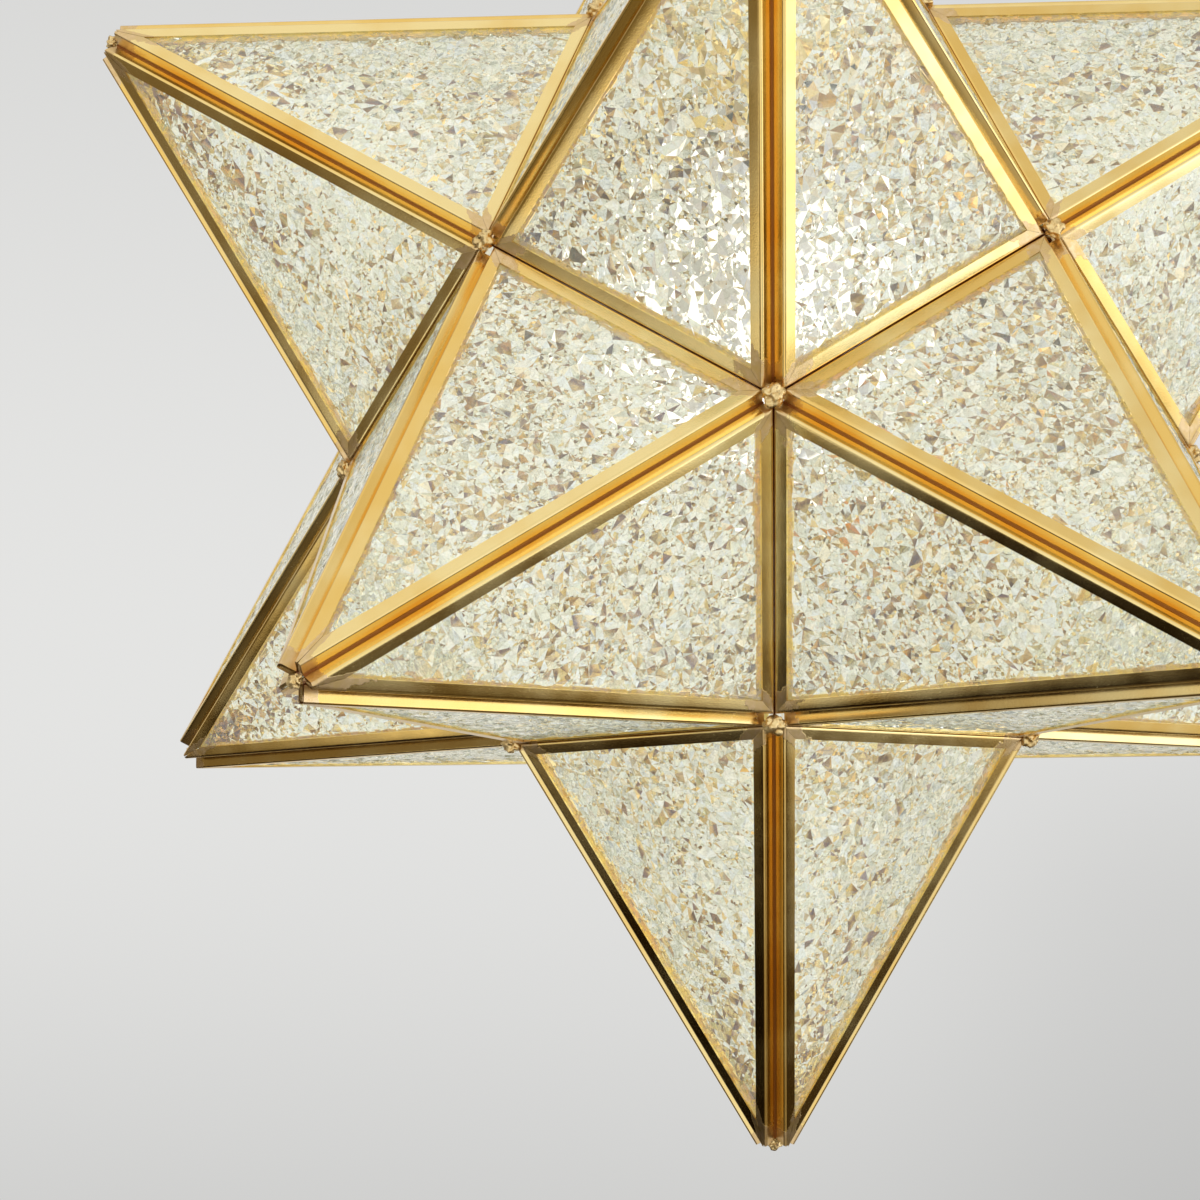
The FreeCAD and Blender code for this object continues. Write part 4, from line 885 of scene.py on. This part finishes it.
def build_glass(material, back_material):
    """Each point's five panes, which share five crackle patterns in turn."""
    rng = random.Random(GLASS_SEED)
    regular = [crackle("bottom", rng) for _ in range(5)]
    door = [crackle(DOOR, rng) for _ in range(5)]
    cut = [crackle("top", rng) for _ in range(5)]
    for number, point in enumerate(POINTS):
        kinds = {"top": cut, DOOR: door}.get(point, regular)
        builder = MeshBuilder()
        for index, place in enumerate(pane_frames(point)):
            add_pane(builder, place, kinds[(index + 2 * number) % 5], rng)
        name = node_name("glass", point)
        mesh = builder.make(name + "_panes")
        piece = new_object(name + "_panes", mesh, material, body_of_point(point), [name])
        mesh.materials.append(back_material)
        mesh.polygons.foreach_set("material_index", builder.slots)


# ---------------------------------------------------------------- solder


def lump(bm, middle, radius, flatten, outward, seed):
    """A lumpy bead of solder, squashed along one direction."""
    made = bmesh.ops.create_icosphere(bm, subdivisions=4, radius=radius)["verts"]
    (lump_scale, lump_size), (grain_scale, grain_size) = BEAD_LUMPS, BEAD_GRAINS
    for vertex in made:
        direction = vertex.co.normalized()
        rough = noise.noise(direction * lump_scale + Vector((seed, 0, 0))) * lump_size
        rough += noise.noise(direction * grain_scale + Vector((0, seed, 0))) * grain_size
        spot = vertex.co * (BEAD_BODY + rough)
        spot -= outward * spot.dot(outward) * flatten
        vertex.co = middle + spot


def corner_directions():
    """Each corner where three points meet: its direction and the three points."""
    names = sorted(POINTS)
    corners = []
    for first in range(12):
        for second in range(first + 1, 12):
            for third in range(second + 1, 12):
                trio = [names[first], names[second], names[third]]
                tips = [POINTS[name][0] for name in trio]
                closest = min(tips[0].dot(tips[1]), tips[1].dot(tips[2]), tips[2].dot(tips[0]))
                if closest > NEIGHBOUR_POINTS:
                    corners.append(((tips[0] + tips[1] + tips[2]).normalized(), trio))
    return corners


def build_solder(material):
    """Beads in the corners where three points meet, and in the mouths of the tips."""
    corners = bmesh.new()
    for number, (direction, trio) in enumerate(corner_directions()):
        middle = STAR_CENTRE + direction * CORNER_HEIGHT
        radius = CORNER_BEAD
        if DOOR in trio:
            radius = DOOR_CORNER_BEAD
            away = -POINTS[DOOR][0]
            away -= direction * away.dot(direction)
            middle += away.normalized() * DOOR_CORNER_SHIFT
        lump(corners, middle, radius, 0.2, direction, number * 3.7)
    tips = bmesh.new()
    door_tip = bmesh.new()
    rim = BASE_HEIGHT + TIP_UP_PANE * math.sin(SLOPE)
    rim_radius = PENTAGON_INRADIUS - TIP_UP_PANE * math.cos(SLOPE)
    height = rim - rim_radius * 0.5 + TIP_BEAD_RISE / math.sin(SLOPE)
    for number, (point, (direction, _)) in enumerate(POINTS.items()):
        if point == "top":
            continue
        target = door_tip if point == DOOR else tips
        middle = STAR_CENTRE + direction * height
        lump(target, middle, TIP_BEAD, 0.1, direction, number * 5.1)
    for name, bm, node, body in (
        ("corner_solder", corners, "solder_corners", "star"),
        ("tip_solder", tips, "solder_tips", "star"),
        ("access_tip_solder", door_tip, "access_solder_tip", "access_point"),
    ):
        mesh = bpy.data.meshes.new(name)
        bm.to_mesh(mesh)
        bm.free()
        mesh.shade_smooth()
        piece = new_object(name, mesh, material, body, [node])


# ---------------------------------------------------------------- fittings


def finish_fittings():
    """Finishes for the fittings and the lamp, whose CAD meshes are kept as they are."""
    brass = fitting_brass()
    steel = plated_steel()
    glow = lamp_glow()
    ceramic, board, black, rods = [
        moulded(name, colour(*dark), colour(*light), rough, scale)
        for name, dark, light, rough, scale in (
            ("glazed_ceramic", (0.80, 0.79, 0.74), (0.90, 0.89, 0.85), 0.15, 90.0),
            ("pressed_board", (0.05, 0.04, 0.035), (0.12, 0.10, 0.08), 0.6, 400.0),
            ("black_plastic", (0.012, 0.012, 0.013), (0.03, 0.03, 0.032), 0.35, 500.0),
            ("rod_coating", (0.90, 0.62, 0.18), (0.95, 0.75, 0.30), 0.4, 900.0),
        )
    ]
    finishes = {
        brass: (
            "fixed_hinge_leaf",
            "access_hinge_leaf",
            "access_lifting_tab",
            "top_cap",
            "clamp_plate",
            "nipple_nuts",
            "nipple",
            "hanging_loop",
            "socket_cap",
            "socket_shell",
            "screw_shell",
            "centre_contact",
        ),
        steel: (
            "hinge_pin",
            "spring_washer",
            "socket_set_screw",
            "terminal_screws",
            "lamp_cap",
            "lamp_contact",
        ),
        glow: ("lamp_envelope", "lamp_stem"),
        ceramic: ("socket_base",),
        board: ("socket_liner",),
        black: ("cord_bushing", "lamp_insulator"),
        rods: ("lamp_filaments",),
    }
    for material, nodes in finishes.items():
        for node in nodes:
            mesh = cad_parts[node].data
            mesh.materials.clear()
            mesh.materials.append(material)


# ---------------------------------------------------------------- studio


def studio_world():
    """Pale backdrop all round, with the studio's bright and dark sides in the metal."""
    world = bpy.data.worlds.new("studio")
    bpy.context.scene.world = world
    world.use_nodes = True
    tree = world.node_tree
    tree.nodes.clear()
    wire = Wire(tree)
    direction = wire.node("TexCoord", out="Generated")
    across, depth, rise = [
        wire.node("SeparateXYZ", None, {0: direction}, out=axis) for axis in "XYZ"
    ]
    toward = depth * -1.0
    # The backdrop: darker below the middle and to the right, paler again over the floor.
    wall = rise.ramp(-0.30, 0.10, 0.50, 0.775) * rise.ramp(0.12, 0.50, 1.0, 0.86)
    wall = wall * (1 - across.ramp(0.02, 0.20, 0.0, 0.14) * rise.ramp(0.16, 0.0))
    wall = wall + rise.ramp(-0.12, -0.40, 0.0, 0.22)
    # What the metal mirrors: a dark left side and a bright right one.
    above_floor = rise.ramp(-0.58, -0.50)
    beside = wire.math("ABSOLUTE", across).ramp(0.45, 0.68)
    level = across.ramp(0.30, 0.90, 0.18, 1.65)
    level = level * (1 - toward.ramp(0.12, 0.03) * rise.ramp(-0.33, -0.40) * 0.55)
    # In front it is plain white, with a pale patch low on the left.
    level = level + toward.ramp(0.36, 0.56) * (1.0 - level)
    low_left = across.ramp(-0.76, -0.84) * rise.ramp(-0.43, -0.46) * toward.ramp(0.0, 0.04)
    level = level + low_left * (1.1 - level)
    level = level * (1 - beside * (1 - above_floor) * 0.94)
    # The ceiling is pale, and behind the lantern the metal mirrors the backdrop itself.
    ceiling = rise.ramp(0.30, 0.75)
    level = level + ceiling * (0.92 - across.ramp(0.0, 0.12, 0.0, 0.12) - level)
    behind = depth.ramp(0.15, 0.6) * above_floor
    level = level + behind * (wall - level)
    mirrored = wire.node("LightPath", out="Is Glossy Ray")
    wall_tone = wire.node("CombineColor", None, {0: wall, 1: wall, 2: wall * 0.985})
    metal_tone = wire.node(
        "CombineColor", None, {0: level, 1: level.power(1.12), 2: level.power(1.35) * 0.985}
    )
    tone = mirrored.blend(wall_tone, metal_tone)
    background = wire.node("Background", None, {"Color": tone, "Strength": 1.0})
    output = tree.nodes.new("ShaderNodeOutputWorld")
    tree.links.new(background.output, output.inputs["Surface"])


def studio_floor():
    """A pale floor that fades into the backdrop, and which the metal doesn't mirror."""
    mesh = bpy.data.meshes.new("floor")
    sides = ((-1, -1), (1, -1), (1, 1), (-1, 1))
    corners = [(x * FLOOR_REACH, y * FLOOR_REACH, 0) for x, y in sides]
    mesh.from_pydata(corners, [], [(0, 1, 2, 3)])
    material, wire = new_material("pale_floor")
    pale = wire.node("BsdfDiffuse", None, {"Color": colour(0.80, 0.80, 0.79)})
    clear = wire.node("BsdfTransparent")
    place = wire.node("TexCoord", out="Object")
    away = wire.node("VectorMath", {"operation": "LENGTH"}, {0: place}, out="Value")
    mirrored = wire.node("LightPath", out="Is Glossy Ray")
    hidden = wire.math("MAXIMUM", mirrored, away.ramp(0.7, 2.9))
    mesh.materials.append(close_material(material, hidden.mix_shader(pale, clear)))
    floor = bpy.data.objects.new("floor", mesh)
    floor.location = (0, 0, FLOOR_HEIGHT)
    bpy.context.scene.collection.objects.link(floor)


def add_softbox(name, place, target, width, height, power):
    light = bpy.data.lights.new(name, "AREA")
    light.shape = "RECTANGLE"
    light.size = width
    light.size_y = height
    light.energy = power
    lamp = bpy.data.objects.new(name, light)
    lamp.location = place
    aim = Vector(target) - Vector(place)
    lamp.rotation_euler = aim.to_track_quat("-Z", "Y").to_euler()
    lamp.visible_camera = False
    lamp.visible_glossy = False
    lamp.visible_transmission = False
    bpy.context.scene.collection.objects.link(lamp)


def place_camera():
    """The main view, from a little below the star's middle."""
    camera = bpy.data.cameras.new("camera")
    camera.sensor_width = SENSOR_WIDTH
    camera.lens = FOCAL_LENGTH / PICTURE_WIDTH * SENSOR_WIDTH
    camera.clip_start = 0.01
    eye = bpy.data.objects.new("camera", camera)
    yaw, pitch, roll = CAMERA_TURN
    forward = Vector(
        (math.sin(yaw) * math.cos(pitch), math.cos(yaw) * math.cos(pitch), math.sin(pitch))
    )
    right = Vector((math.cos(yaw), -math.sin(yaw), 0.0))
    up = right.cross(forward)
    turned_right = right * math.cos(roll) + up * math.sin(roll)
    turned_up = up * math.cos(roll) - right * math.sin(roll)
    place = Matrix((turned_right, turned_up, -forward)).transposed().to_4x4()
    place.translation = STAR_CENTRE + CAMERA_PLACE
    eye.matrix_world = place
    bpy.context.scene.collection.objects.link(eye)
    bpy.context.scene.camera = eye


build_cames(came_brass())
build_glass(textured_glass(), pane_back())
build_solder(solder_metal())
finish_fittings()
studio_world()
studio_floor()
add_softbox("overhead", (-0.3, -0.7, 1.1), STAR_CENTRE, 1.2, 0.9, 9.0)
add_softbox("right_side", (1.3, -0.5, -0.5), STAR_CENTRE, 0.5, 1.0, 5.0)
place_camera()

bpy.context.scene.view_settings.view_transform = "Standard"
